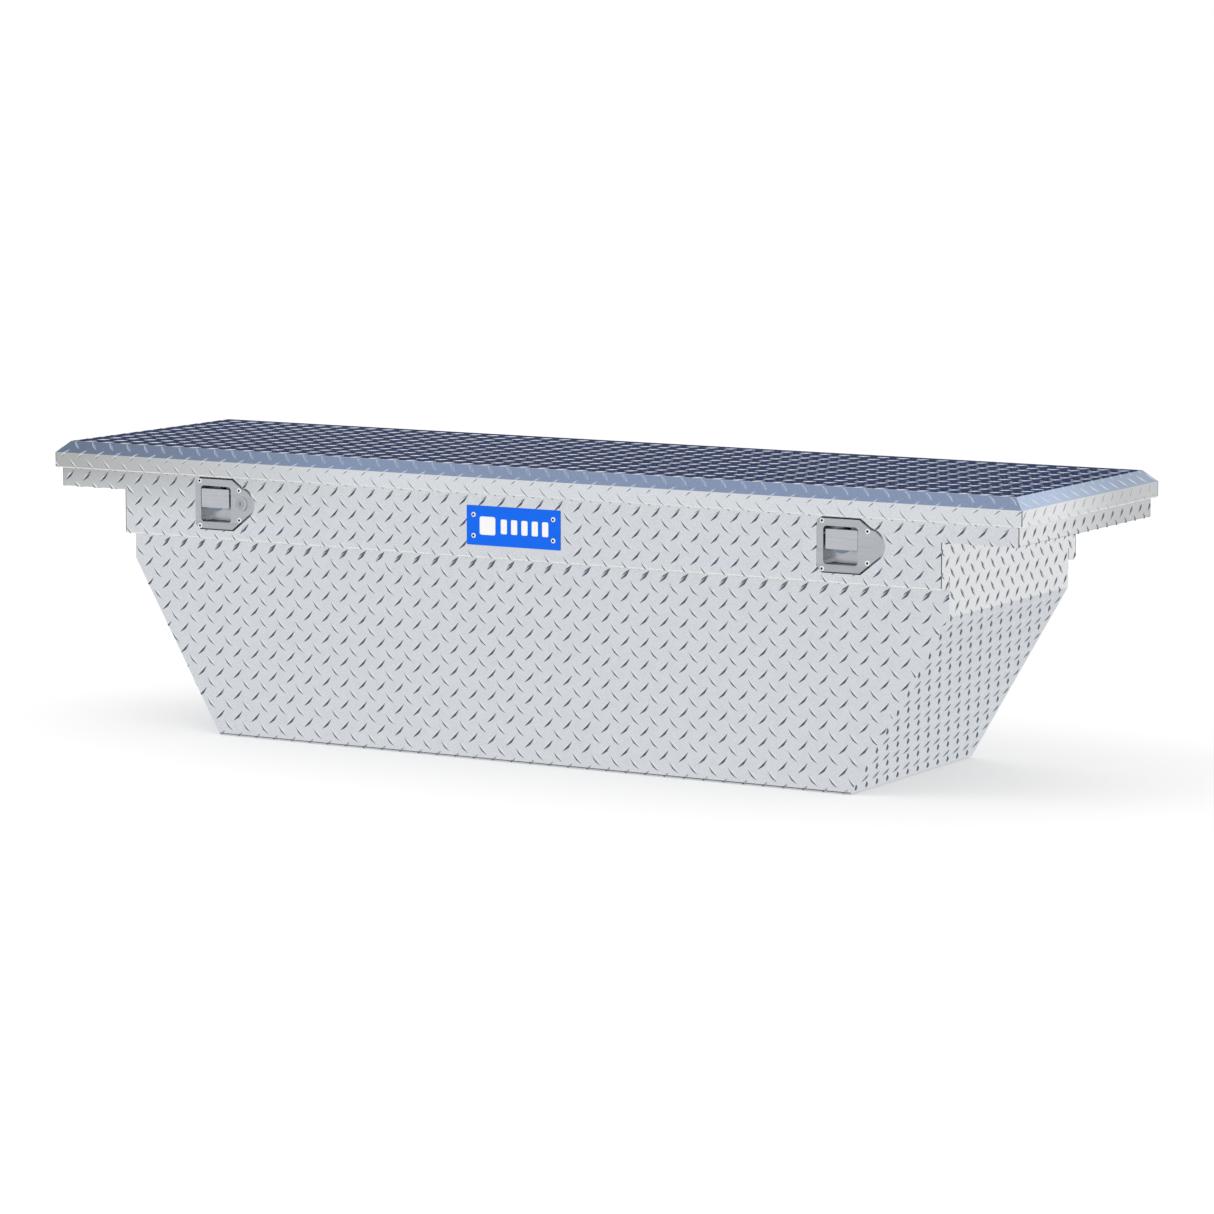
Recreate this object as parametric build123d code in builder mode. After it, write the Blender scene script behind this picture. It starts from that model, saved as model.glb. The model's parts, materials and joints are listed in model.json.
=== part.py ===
from build123d import *
from math import atan2, cos, degrees, radians, sin, sqrt, tan
import os

# Crossover truck tool box in aluminium tread plate. Millimetres, +Z up, +X to the right of a
# person facing the front, the front faces -Y. The origin is under the middle of the tub.

# ---------------------------------------------------------------- driving dimensions
lid_length = 1772.0
lid_width = 496.0
total_height = 475.0
sheet = 1.5                 # tread plate of the whole box
skirt_height = 25.5         # vertical edge of the lid
bevel_inset = 19.0          # plan width of the lid's bevel
bevel_rise = 18.5
lid_overhang = 9.5          # lid beyond the body, all round

rail_standoff = 27.0        # rail face in front of the tub wall
wing_drop = 30.5            # wing underside below the lid's lower edge
rail_drop = 103.0           # rail's lower edge below the lid's lower edge
bend_drop = 147.0           # where the tub's ends start to lean in
wing_length = 127.0         # end of the tub to the end of the wing
end_run = 166.0             # how far each tub end leans in at the bottom
lap = 18.0                  # upright laps and return flanges of the folded sheets

rim_rise = 16.0             # rim flange above the lid's lower edge
rim_flange = 25.0
seal_width = 10.0
seal_height = 9.0
seal_inset = 7.0            # from the rim's outer edge
seal_gap = 0.3              # under the lid liner when closed
hem_height = 12.0           # folded-in safety edge of the lid's skirt
foam_gap = 0.2
seal_corner = 12.0          # plan radius of the seal's outer corners
seal_crown = 3.0            # rounding of its top edges

lid_travel = 75.0           # degrees of opening, which the strut stroke has to cover
past = 1.0                  # cuts run this far past a face, and joined solids this far into each other

# hinge
hinge_pitch = 25.0          # one knuckle and its gap
hinge_knuckle_gap = 0.6
hinge_ends_clear = 34.0     # from the body's end to the first knuckle, at least
hinge_pin_radius = 1.6
knuckle_radius = 3.2
knuckle_root = 1.0          # extra sheet where a knuckle joins its leaf
hinge_leaf = 1.2
hinge_leaf_drop = 26.0
hinge_leaf_rise = 15.0
hinge_standoff = 4.0        # pin centre behind the back rail's face
hinge_edge_clear = 0.4
running_clearance = 0.05

# latches
latch_insets = {"left": 140.5, "right": 211.5}    # tub end to the flange's left edge
latch_drop = 45.0           # latch centre below the lid's lower edge
flange_height = 86.0
flange_corner = 9.0
flange_proud = 3.0
flange_straight = 75.0      # length of the upper and lower edges from the left edge
flange_nose_radius = 27.2
flange_nose_center = (89.5, 2.5)
nose_start_angle = 80.5
nose_end_angle = -41.3
flange_edge_lean = 38.0     # degrees, of the turned-down edge
pan_sheet = 1.2
dish_size = 59.0
dish_left = 13.0            # from the flange's left edge
dish_radius = 6.0
dish_depth = 22.0
cutout_clearance = 1.0
latch_rivet_spots = ((11.0, 37.0), (88.5, 24.5), (88.5, -24.0), (11.0, -36.5))
paddle_width = 54.5
paddle_height = 30.5
paddle_corner = 2.0
paddle_top_gap = 5.0        # under the top wall of the dish
paddle_offset = 1.5         # each paddle sits off the dish centre, away from its gap
paddle_set_back = 0.5       # behind the flange's face
paddle_sheet = 1.5
paddle_travel = 40.0        # degrees
pivot_depth = 7.5           # paddle pin behind the flange's face
pivot_drop = 12.5           # paddle pin below the top wall of the dish
paddle_pin_radius = 2.0
hub_radius = 4.5
hub_length = 20.0
ear_sheet = 1.5
scoop_width = 28.0          # half-moon finger lip under the paddle
scoop_depth = 6.0
crank_radius = 23.0         # paddle pivot to drive pin, and shaft centre to drive pin
drive_pin_radius = 2.5
fork_play = 1.2             # the drive pin wanders this much across the fork
tine = 2.5
tail_neck = 5.0
tail_sheet = 4.0
fork_slot_start = 20.0
fork_reach = 28.0
slot_margin = 4.0           # tail slot in the dish, beyond the sides of the tail
slot_clearance = 1.0        # and beyond the tail's swing
spring_radius = 3.4         # return spring round the paddle's pin
spring_wire = 1.2
spring_pitch = 1.6
spring_turns = 6
spring_gap = 1.0            # beside the paddle's hub

# cross shaft, cranks and hooks
shaft_radius = 5.0
shaft_overrun = 22.0
crank_sheet = 4.0
crank_hub_radius = 9.0
crank_gap = 1.0
crank_eye_radius = 4.5      # round the drive pin
crank_arm_width = 8.0
hook_sheet = 6.0
hook_offset = 12.0          # from the paddle's centre line
hook_arm_width = 8.0
hook_height = 38.0
nose_length = 9.0
nose_height = 5.0
nose_clear = 1.5            # nose to striker, at rest
bracket_offset = 45.0       # left of a latch's centre line
bracket_sheet = 4.0
bush_radius = 7.5
bush_collar_radius = 9.5
bush_collar = 1.0
bracket_foot = 14.0
bracket_height = 40.0

# striker
striker_bar_radius = 3.0
striker_leg = 2.0
striker_inside = 14.0
striker_bar_drop = 26.0     # bar centre under the lid liner
striker_leg_width = 9.0
striker_base = (34.0, 24.0)

# lock
lock_along = 91.0           # from the flange's left edge
lock_lift = 3.0             # above the latch centre
lock_plug_radius = 6.0
lock_housing_radius = 9.0
lock_boss_radius = 13.0
lock_boss_rise = 1.2
lock_depth = 27.0
lock_nut_thick = 4.0
lock_nut_flats = 24.0
key_slot = (1.6, 7.0, 6.0)
cam_length = 39.0
cam_width = 9.0
cam_sheet = 2.0
cam_screw_radius = 2.0
cam_screw_length = 7.0
cam_screw_head = 7.0
cam_screw_head_height = 2.3
cam_boss_radius = 6.75      # round end of the cam

# gas struts: both pivots are equally far from the hinge, so the strut turns half as fast as the lid
strut_arm = 150.0
strut_spread = 72.0         # degrees between the two arms, closed
strut_upper_rise = 10.0     # upper pivot above the hinge pin
strut_inset = 15.0          # strut axis inside the tub's end wall
strut_tube_radius = 9.0
strut_tube_bore = 7.5
strut_tube_end = 5.0        # plugs at both ends of the tube
strut_tube_start = 14.0     # from the lower pivot
strut_end_gap = 2.0         # tube to the upper eye, closed
strut_rod_radius = 4.0
strut_rod_clearance = 0.1
piston_radius = 7.3
piston_length = 10.0
stroke_reserve = 8.0        # rod left in the tube beyond the piston at full travel
eye_radius = 8.0
eye_width = 10.0
stud_radius = 4.0
bracket_plate = 2.0
lower_plate = (26.0, 40.0)
bracket_lift = 1.0          # lower plate above the bend of the tub's end
upper_plate = (30.0, 22.0)
plate_gap = 1.0             # upper plate to the strut's tube
plate_rim = 2.0             # upper plate below its stud
stud_cap_radius = 5.5       # cap that keeps the eye on its stud
stud_cap = 1.5
stud_cap_gap = 0.5

# nameplate and rivets
nameplate_size = (172.5, 63.0, 0.8)
nameplate_drop = 51.0
nameplate_rivet_spread = (146.6, 33.4)
rivet_head_radius = 4.0
rivet_head_height = 1.2
rivet_shank_radius = 2.0
rivet_tail_radius = 2.9
rivet_tail_length = 4.0
rivet_bore_radius = 1.5
rivet_bore_depth = 1.5
rivet_flat = 0.6            # flat of a head or a tail, as a share of its radius
rivet_shoulder = 0.95       # head radius at half its height, as a share of the full one
nameplate_corner = 2.0

# ---------------------------------------------------------------- derived places
skirt_z = total_height - bevel_rise - skirt_height
bevel_z = skirt_z + skirt_height
wing_z = skirt_z - wing_drop
rail_z = skirt_z - rail_drop
bend_z = skirt_z - bend_drop
rim_z = skirt_z + rim_rise
rail_y = lid_width / 2 - lid_overhang
tub_y = rail_y - rail_standoff
wing_x = lid_length / 2 - lid_overhang
tub_x = wing_x - wing_length
bottom_x = tub_x - end_run
end_slope = end_run / bend_z
liner_z = rim_z + seal_height + seal_gap
lid_ceiling = total_height - sheet

hinge_y = rail_y + hinge_standoff
hinge_z = skirt_z + knuckle_radius

hinge_count = 2 * int((wing_x - hinge_ends_clear) / hinge_pitch)
hinge_half = hinge_count * hinge_pitch / 2
knuckle_starts = [i * hinge_pitch - hinge_half for i in range(hinge_count)]
knuckle_length = hinge_pitch - hinge_knuckle_gap
leaf_edge = knuckle_radius + hinge_edge_clear
body_knuckles = knuckle_starts[0::2]
lid_knuckles = knuckle_starts[1::2]
rivet_row = hinge_z - leaf_edge - hinge_leaf_drop / 2
hinge_rivet_xs = [start + knuckle_length / 2 for start in body_knuckles[2::5]]

latch_edges = {"left": latch_insets["left"] - tub_x, "right": tub_x - latch_insets["right"]}
flange_face = rail_y + flange_proud               # distance in front of the middle plane
latch_z = skirt_z - latch_drop
dish_top = latch_z + dish_size / 2
dish_floor = flange_face - dish_depth
pivot_y = -(flange_face - pivot_depth)
pivot_z = dish_top - pivot_drop
shaft_y = pivot_y + 2 * crank_radius
shaft_z = pivot_z
half_travel = paddle_travel / 2
paddle_face = flange_face - paddle_set_back
latch_centers = {side: edge + dish_left + dish_size / 2 for side, edge in latch_edges.items()}
lock_x = latch_edges["left"] + lock_along
lock_z = latch_z + lock_lift
lock_back = flange_face - lock_depth              # where the housing ends and the cam starts

striker_y = shaft_y + nose_length + nose_clear + striker_bar_radius

upper_dy = -sqrt(strut_arm**2 - strut_upper_rise**2)
strut_upper = (hinge_y + upper_dy, hinge_z + strut_upper_rise)
lower_bearing = atan2(strut_upper_rise, upper_dy) + radians(strut_spread)
strut_lower = (hinge_y + strut_arm * cos(lower_bearing), hinge_z + strut_arm * sin(lower_bearing))
strut_closed = 2 * strut_arm * sin(radians(strut_spread / 2))
strut_open = 2 * strut_arm * sin(radians((strut_spread + lid_travel) / 2))
strut_angle = degrees(atan2(strut_upper[1] - strut_lower[1], strut_upper[0] - strut_lower[0]))
strut_x = tub_x - sheet - strut_inset
sides = {"left": -1, "right": 1}

os.makedirs("parts", exist_ok=True)


def finish(piece, name):
    """Label a finished piece and write it."""
    piece.part.label = name
    export_step(piece.part, f"parts/{name}.step")


def folded_outline(path, thickness):
    """Closed outline of a folded sheet: path is one face, the other lies to its right."""
    normals = []
    for (x0, y0), (x1, y1) in zip(path, path[1:]):
        run = sqrt((x1 - x0) ** 2 + (y1 - y0) ** 2)
        normals.append(((y1 - y0) / run, (x0 - x1) / run))
    before = [normals[0]] + normals
    after = normals + [normals[-1]]
    inner = []
    for (x, y), (ax, ay), (bx, by) in zip(path, before, after):
        mitre = thickness / (1 + ax * bx + ay * by)
        inner.append((x + (ax + bx) * mitre, y + (ay + by) * mitre))
    return path + inner[::-1]


def box_between(low, high, mode=Mode.ADD):
    """A box from its lowest to its highest corner."""
    middle = [(a + b) / 2 for a, b in zip(low, high)]
    with Locations(tuple(middle)):
        Box(*(b - a for a, b in zip(low, high)), mode=mode)


def cylinder_x(radius, x0, x1, y, z, mode=Mode.ADD):
    """A cylinder along X from x0 to x1."""
    with Locations(Location(((x0 + x1) / 2, y, z), (0, 90, 0))):
        Cylinder(radius, abs(x1 - x0), mode=mode)


def cylinder_y(radius, x, y0, y1, z, mode=Mode.ADD):
    """A cylinder along Y from y0 to y1."""
    with Locations(Location((x, (y0 + y1) / 2, z), (90, 0, 0))):
        Cylinder(radius, abs(y1 - y0), mode=mode)


# ---------------------------------------------------------------- tub: front, bottom, back
tub_fold = [(-tub_y, rail_z + lap), (-tub_y, 0), (tub_y, 0), (tub_y, rail_z + lap)]
with BuildPart() as tub:
    with BuildSketch(Plane.YZ):
        with BuildLine():
            Polyline(*folded_outline(tub_fold[::-1], sheet), close=True)
        make_face()
    extrude(amount=tub_x, both=True)
    with BuildSketch(Plane.XZ):
        with BuildLine():
            Polyline(
                (-bottom_x, 0), (bottom_x, 0), (tub_x, bend_z), (tub_x, rail_z),
                (tub_x - sheet, rail_z), (tub_x - sheet, rail_z + lap), (sheet - tub_x, rail_z + lap),
                (sheet - tub_x, rail_z), (-tub_x, rail_z), (-tub_x, bend_z), close=True,
            )
        make_face()
    extrude(amount=tub_y, both=True, mode=Mode.INTERSECT)
finish(tub, "tub")

# ---------------------------------------------------------------- end panels
foot_x = bottom_x + sheet * end_slope
for side, sign in sides.items():
    fold = [
        (wing_x - rim_flange, rim_z), (wing_x, rim_z), (wing_x, wing_z), (tub_x, wing_z),
        (tub_x, bend_z), (foot_x, sheet), (foot_x - lap, sheet),
    ]
    outline = [(sign * x, z) for x, z in folded_outline(fold, sheet)]
    with BuildPart() as end_panel:
        with BuildSketch(Plane.XZ):
            with BuildLine():
                Polyline(*outline, close=True)
            make_face()
        extrude(amount=rail_y - sheet, both=True)
        for front in (-1, 1):
            inner = tub_y - sheet
            outer = rail_y
            low_y, high_y = sorted((front * inner, front * outer))
            box_between((-wing_x, low_y, -past), (wing_x, high_y, rail_z + sheet), Mode.SUBTRACT)
            low_y, high_y = sorted((front * (rail_y - rim_flange), front * outer))
            box_between((-wing_x, low_y, rim_z - sheet), (wing_x, high_y, rim_z + past), Mode.SUBTRACT)
    finish(end_panel, f"end_panel_{side}")

# ---------------------------------------------------------------- front and back rails
rail_fold = [
    (-rail_y + rim_flange, rim_z), (-rail_y, rim_z), (-rail_y, rail_z),
    (-tub_y, rail_z), (-tub_y, rail_z + lap),
]


def rail_body(facing):
    """The folded rail with its lower part cut back to the tub's length; facing is -1 in front."""
    outline = [(-facing * y, z) for y, z in folded_outline(rail_fold[::-1], sheet)]
    with BuildSketch(Plane.YZ) as profile:
        with BuildLine():
            Polyline(*outline, close=True)
        make_face()
    extrude(profile.sketch, amount=wing_x, both=True)
    low_y, high_y = sorted((facing * (rail_y + past), facing * (tub_y - past)))
    lap_low, lap_high = sorted((facing * (tub_y - past), facing * (tub_y + 2 * sheet)))
    for sign in sides.values():
        near, far = sorted((sign * tub_x, sign * (wing_x + past)))
        box_between((near, low_y, rail_z - past), (far, high_y, wing_z), Mode.SUBTRACT)
        near, far = sorted((sign * (tub_x - sheet), sign * (tub_x + past)))
        box_between((near, lap_low, rail_z + sheet), (far, lap_high, wing_z), Mode.SUBTRACT)


def rivet_holes(spots):
    """Clearance holes through the front rail's face."""
    for x, z in spots:
        cylinder_y(rivet_shank_radius, x, -rail_y - past, sheet + past - rail_y, z, Mode.SUBTRACT)


nameplate_z = skirt_z - nameplate_drop
nameplate_spots = [
    (i * nameplate_rivet_spread[0] / 2, nameplate_z + j * nameplate_rivet_spread[1] / 2)
    for i in (-1, 1) for j in (-1, 1)
]
latch_spots = {
    side: [(edge + along, latch_z + up) for along, up in latch_rivet_spots]
    for side, edge in latch_edges.items()
}
dish_outer = dish_size + 2 * pan_sheet
pin_half = dish_outer / 2 + past
cutout = dish_outer + 2 * cutout_clearance

with BuildPart() as front_rail:
    rail_body(-1)
    for side, center in latch_centers.items():
        with BuildSketch(Plane.XZ.offset(rail_y + past)):
            with Locations((center, latch_z)):
                RectangleRounded(cutout, cutout, dish_radius + pan_sheet + cutout_clearance)
        extrude(amount=-sheet - 2 * past, mode=Mode.SUBTRACT)
        rivet_holes(latch_spots[side])
    cylinder_y(lock_housing_radius + cutout_clearance, lock_x, -rail_y - past, sheet + past - rail_y,
               lock_z, Mode.SUBTRACT)
    rivet_holes(nameplate_spots)
finish(front_rail, "front_rail")

with BuildPart() as back_rail:
    rail_body(1)
    for x in hinge_rivet_xs:
        cylinder_y(rivet_shank_radius, x, rail_y - sheet - past, rail_y + past, rivet_row, Mode.SUBTRACT)
finish(back_rail, "back_rail")

# ---------------------------------------------------------------- rim seal
with BuildPart() as rim_seal:
    with BuildSketch(Plane.XY.offset(rim_z)):
        RectangleRounded(2 * (wing_x - seal_inset), 2 * (rail_y - seal_inset), seal_corner)
        inner_inset = seal_inset + seal_width
        RectangleRounded(2 * (wing_x - inner_inset), 2 * (rail_y - inner_inset), seal_corner - seal_width,
                         mode=Mode.SUBTRACT)
    extrude(amount=seal_height)
    fillet(rim_seal.faces().sort_by(Axis.Z)[-1].edges(), radius=seal_crown)
finish(rim_seal, "rim_seal")

# ---------------------------------------------------------------- lid
bevel_lean = atan2(bevel_inset, bevel_rise)
low_bend = sheet * tan(bevel_lean / 2)
high_bend = sheet * tan((radians(90) - bevel_lean) / 2)


def bevelled_block(inset, foot_z, bend, head_z, head_inset, mode=Mode.ADD):
    """A block with upright sides up to bend and a bevel from there to head_z."""
    length = lid_length - 2 * inset
    width = lid_width - 2 * inset
    with BuildSketch(Plane.XY.offset(foot_z)) as foot:
        Rectangle(length, width)
    with BuildSketch(Plane.XY.offset(bend)) as shoulder:
        Rectangle(length, width)
    with BuildSketch(Plane.XY.offset(head_z)) as head:
        Rectangle(lid_length - 2 * head_inset, lid_width - 2 * head_inset)
    extrude(foot.sketch, amount=bend - foot_z, mode=mode)
    loft([shoulder.sketch, head.sketch], mode=mode)


def bevel_inset_at(z):
    """How far in the lid's inner face lies at a height in the bevel."""
    slant = sheet / cos(bevel_lean)
    return (z - bevel_z) * tan(bevel_lean) + slant


with BuildPart() as lid_skin:
    bevelled_block(0, skirt_z, bevel_z, total_height, bevel_inset)
    bevelled_block(sheet, skirt_z, bevel_z - low_bend, lid_ceiling, bevel_inset + high_bend, Mode.SUBTRACT)
    hem_x = lid_length / 2 - sheet
    hem_y = lid_width / 2 - sheet
    hem_top = skirt_z + hem_height
    box_between((-hem_x, -hem_y, skirt_z), (hem_x, -hem_y + sheet, hem_top))
    for sign in sides.values():
        near, far = sorted((sign * hem_x, sign * (hem_x - sheet)))
        box_between((near, -hem_y, skirt_z), (far, rail_y - knuckle_radius, hem_top))
finish(lid_skin, "lid_skin")

with BuildPart() as lid_liner:
    liner_inset = bevel_inset_at(liner_z + sheet) + foam_gap
    box_between(
        (liner_inset - lid_length / 2, liner_inset - lid_width / 2, liner_z),
        (lid_length / 2 - liner_inset, lid_width / 2 - liner_inset, liner_z + sheet),
    )
finish(lid_liner, "lid_liner")

with BuildPart() as lid_foam:
    for z in (liner_z + sheet, lid_ceiling):
        inset = bevel_inset_at(z) + foam_gap
        with BuildSketch(Plane.XY.offset(z)):
            Rectangle(lid_length - 2 * inset, lid_width - 2 * inset)
    loft()
finish(lid_foam, "lid_foam")

# ---------------------------------------------------------------- piano hinge


def knuckles(starts):
    """Rolled knuckles, each bored for the pin."""
    for start in starts:
        cylinder_x(knuckle_radius, start, start + knuckle_length, hinge_y, hinge_z)


def pin_bore():
    """Bore through all the knuckles of one leaf."""
    bore = hinge_pin_radius + running_clearance
    cylinder_x(bore, -hinge_half - past, hinge_half + past, hinge_y, hinge_z, Mode.SUBTRACT)


with BuildPart() as hinge_body_leaf:
    box_between(
        (-hinge_half, rail_y, hinge_z - leaf_edge - hinge_leaf_drop),
        (hinge_half - hinge_knuckle_gap, rail_y + hinge_leaf, hinge_z - leaf_edge),
    )
    knuckles(body_knuckles)
    for start in body_knuckles:
        box_between(
            (start, rail_y, hinge_z - leaf_edge),
            (start + knuckle_length, rail_y + hinge_leaf + knuckle_root, hinge_z),
        )
    pin_bore()
    for x in hinge_rivet_xs:
        cylinder_y(rivet_shank_radius, x, rail_y - past, rail_y + hinge_leaf + past, rivet_row, Mode.SUBTRACT)
finish(hinge_body_leaf, "hinge_body_leaf")

skirt_inner_y = lid_width / 2 - sheet
with BuildPart() as hinge_lid_leaf:
    box_between(
        (-hinge_half, skirt_inner_y - hinge_leaf, hinge_z + leaf_edge),
        (hinge_half - hinge_knuckle_gap, skirt_inner_y, hinge_z + leaf_edge + hinge_leaf_rise),
    )
    knuckles(lid_knuckles)
    for start in lid_knuckles:
        box_between(
            (start, skirt_inner_y - hinge_leaf - knuckle_root, hinge_z),
            (start + knuckle_length, skirt_inner_y, hinge_z + leaf_edge),
        )
    pin_bore()
finish(hinge_lid_leaf, "hinge_lid_leaf")

with BuildPart() as hinge_pin:
    cylinder_x(hinge_pin_radius, -hinge_half, hinge_half - hinge_knuckle_gap, hinge_y, hinge_z)
finish(hinge_pin, "hinge_pin")


# ---------------------------------------------------------------- blind rivets
def blind_rivet(grip):
    """A set blind rivet: head towards -Y, its seat on the plane y = 0, grip is the sheets' depth."""
    with BuildPart() as rivet:
        with BuildSketch(Plane.YZ):
            with BuildLine():
                Polyline(
                    (rivet_bore_depth - rivet_head_height, 0), (grip + rivet_tail_length, 0),
                    (grip + rivet_tail_length, rivet_tail_radius * rivet_flat),
                    (grip + rivet_tail_length / 2, rivet_tail_radius), (grip, rivet_shank_radius),
                    (0, rivet_shank_radius), (0, rivet_head_radius),
                    (-rivet_head_height / 2, rivet_head_radius * rivet_shoulder),
                    (-rivet_head_height, rivet_head_radius * rivet_flat),
                    (-rivet_head_height, rivet_bore_radius),
                    (rivet_bore_depth - rivet_head_height, rivet_bore_radius), close=True,
                )
            make_face()
        revolve(axis=Axis.Y)
    return rivet.part


with BuildPart() as hinge_rivets:
    with Locations(*[Location((x, rail_y + hinge_leaf, rivet_row), (0, 0, 180)) for x in hinge_rivet_xs]):
        add(blind_rivet(hinge_leaf + sheet))
finish(hinge_rivets, "hinge_rivets")

# ---------------------------------------------------------------- nameplate
with BuildPart() as nameplate:
    with BuildSketch(Plane.XZ.offset(rail_y)):
        with Locations((0, nameplate_z)):
            RectangleRounded(nameplate_size[0], nameplate_size[1], nameplate_corner)
        with Locations(*nameplate_spots):
            Circle(rivet_shank_radius, mode=Mode.SUBTRACT)
    extrude(amount=nameplate_size[2])
finish(nameplate, "nameplate")

with BuildPart() as nameplate_rivets:
    with Locations(*[(x, -rail_y - nameplate_size[2], z) for x, z in nameplate_spots]):
        add(blind_rivet(nameplate_size[2] + sheet))
finish(nameplate_rivets, "nameplate_rivets")


# ---------------------------------------------------------------- latch pans
def flange_outline(edge):
    """D-shaped outline of a latch flange, in X and Z."""
    top = latch_z + flange_height / 2
    low = latch_z - flange_height / 2
    nose_x = edge + flange_nose_center[0]
    nose_z = latch_z + flange_nose_center[1]

    def on_nose(angle):
        turn = radians(angle)
        return (nose_x + flange_nose_radius * cos(turn), nose_z + flange_nose_radius * sin(turn))

    start = on_nose(nose_start_angle)
    middle = on_nose((nose_start_angle + nose_end_angle) / 2)
    end = on_nose(nose_end_angle)
    with BuildLine() as outline:
        Polyline(
            end, (edge + flange_straight, low), (edge + flange_corner, low),
            (edge, low + flange_corner), (edge, top - flange_corner), (edge + flange_corner, top),
            (edge + flange_straight, top), start,
        )
        ThreePointArc(start, middle, end)
    return outline.edges()


tail_angle = radians(half_travel)
tail_at_floor = -dish_floor - pivot_y
slot_half = tail_at_floor * tan(tail_angle) + tail_neck / 2 / cos(tail_angle) + slot_clearance
for side, edge in latch_edges.items():
    center = latch_centers[side]
    with BuildPart() as latch_pan:
        with BuildSketch(Plane.XZ.offset(rail_y)):
            make_face(flange_outline(edge))
        extrude(amount=flange_proud, taper=flange_edge_lean)
        with BuildSketch(Plane.XZ.offset(rail_y)):
            make_face(flange_outline(edge))
            offset(amount=-pan_sheet / cos(radians(flange_edge_lean)), mode=Mode.REPLACE)
        extrude(amount=flange_proud - pan_sheet, taper=flange_edge_lean, mode=Mode.SUBTRACT)
        with BuildSketch(Plane.XZ.offset(flange_face - pan_sheet)):
            with Locations((center, latch_z)):
                RectangleRounded(dish_outer, dish_outer, dish_radius + pan_sheet)
        extrude(amount=dish_floor - flange_face)
        with BuildSketch(Plane.XZ.offset(flange_face)):
            with Locations((center, latch_z)):
                RectangleRounded(dish_size, dish_size, dish_radius)
        extrude(amount=-dish_depth, mode=Mode.SUBTRACT)
        box_between(
            (center - tail_sheet / 2 - slot_margin, -dish_floor - past, pivot_z - slot_half),
            (center + tail_sheet / 2 + slot_margin, -dish_floor + pan_sheet + past, pivot_z + slot_half),
            Mode.SUBTRACT,
        )
        cylinder_x(paddle_pin_radius, center - pin_half, center + pin_half, pivot_y, pivot_z, Mode.SUBTRACT)
        for x, z in latch_spots[side]:
            cylinder_y(rivet_shank_radius, x, -flange_face - past, -rail_y, z, Mode.SUBTRACT)
        if side == "left":
            cylinder_y(lock_boss_radius, lock_x, -flange_face - lock_boss_rise, -flange_face + pan_sheet / 2,
                       lock_z)
            cylinder_y(lock_housing_radius, lock_x, -flange_face - lock_boss_rise - past, -rail_y,
                       lock_z, Mode.SUBTRACT)
    finish(latch_pan, f"latch_pan_{side}")

    with BuildPart() as latch_rivets:
        with Locations(*[(x, -flange_face, z) for x, z in latch_spots[side]]):
            add(blind_rivet(flange_proud + sheet))
    finish(latch_rivets, f"latch_rivets_{side}")

    # ------------------------------------------------------------ paddle, its pin and spring
    paddle_x = center + sides[side] * paddle_offset
    paddle_top = dish_top - paddle_top_gap
    paddle_low = paddle_top - paddle_height
    with BuildPart() as paddle:
        with BuildSketch(Plane.XZ.offset(paddle_face)):
            with Locations((paddle_x, paddle_top - paddle_height / 2)):
                RectangleRounded(paddle_width, paddle_height, paddle_corner)
            with BuildLine():
                Line((paddle_x - scoop_width / 2, paddle_low), (paddle_x + scoop_width / 2, paddle_low))
                ThreePointArc(
                    (paddle_x - scoop_width / 2, paddle_low), (paddle_x, paddle_low - scoop_depth),
                    (paddle_x + scoop_width / 2, paddle_low),
                )
            make_face()
        extrude(amount=-paddle_sheet)
        web_start = -paddle_face + paddle_sheet / 2
        for near in (paddle_x - paddle_width / 2, paddle_x + paddle_width / 2 - ear_sheet):
            cylinder_x(hub_radius, near, near + ear_sheet, pivot_y, pivot_z)
            box_between(
                (near, web_start, pivot_z - hub_radius),
                (near + ear_sheet, pivot_y, pivot_z + hub_radius),
            )
        hub_near = center - hub_length / 2
        cylinder_x(hub_radius, hub_near, hub_near + hub_length, pivot_y, pivot_z)
        box_between(
            (hub_near, web_start, pivot_z - hub_radius),
            (hub_near + hub_length, pivot_y, pivot_z + hub_radius),
        )
        cylinder_x(paddle_pin_radius + running_clearance, center - dish_size, center + dish_size,
                   pivot_y, pivot_z, Mode.SUBTRACT)
        tail_plane = Plane(
            origin=(center - tail_sheet / 2, pivot_y, pivot_z),
            x_dir=(0, cos(tail_angle), sin(tail_angle)), z_dir=(1, 0, 0),
        )
        slot_width = drive_pin_radius + fork_play
        with BuildSketch(tail_plane):
            with BuildLine():
                Polyline(
                    (hub_radius - past, -tail_neck / 2), (fork_slot_start - past, -tail_neck / 2),
                    (fork_slot_start, -slot_width - tine), (fork_reach, -slot_width - tine),
                    (fork_reach, -slot_width), (fork_slot_start, -slot_width),
                    (fork_slot_start, slot_width), (fork_reach, slot_width),
                    (fork_reach, slot_width + tine), (fork_slot_start, slot_width + tine),
                    (fork_slot_start - past, tail_neck / 2), (hub_radius - past, tail_neck / 2), close=True,
                )
            make_face()
        extrude(amount=tail_sheet)
    finish(paddle, f"paddle_{side}")

    with BuildPart() as paddle_pin:
        cylinder_x(paddle_pin_radius, center - pin_half, center + pin_half, pivot_y, pivot_z)
    finish(paddle_pin, f"paddle_pin_{side}")

    coil_length = spring_turns * spring_pitch
    with BuildPart() as paddle_spring:
        with BuildLine() as coil:
            Helix(spring_pitch, coil_length, spring_radius,
                  center=(center + hub_length / 2 + spring_gap, pivot_y, pivot_z), direction=(1, 0, 0))
        with BuildSketch(Plane(origin=coil.line @ 0, z_dir=coil.line % 0)):
            Circle(spring_wire / 2)
        sweep()
    finish(paddle_spring, f"paddle_spring_{side}")

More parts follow.
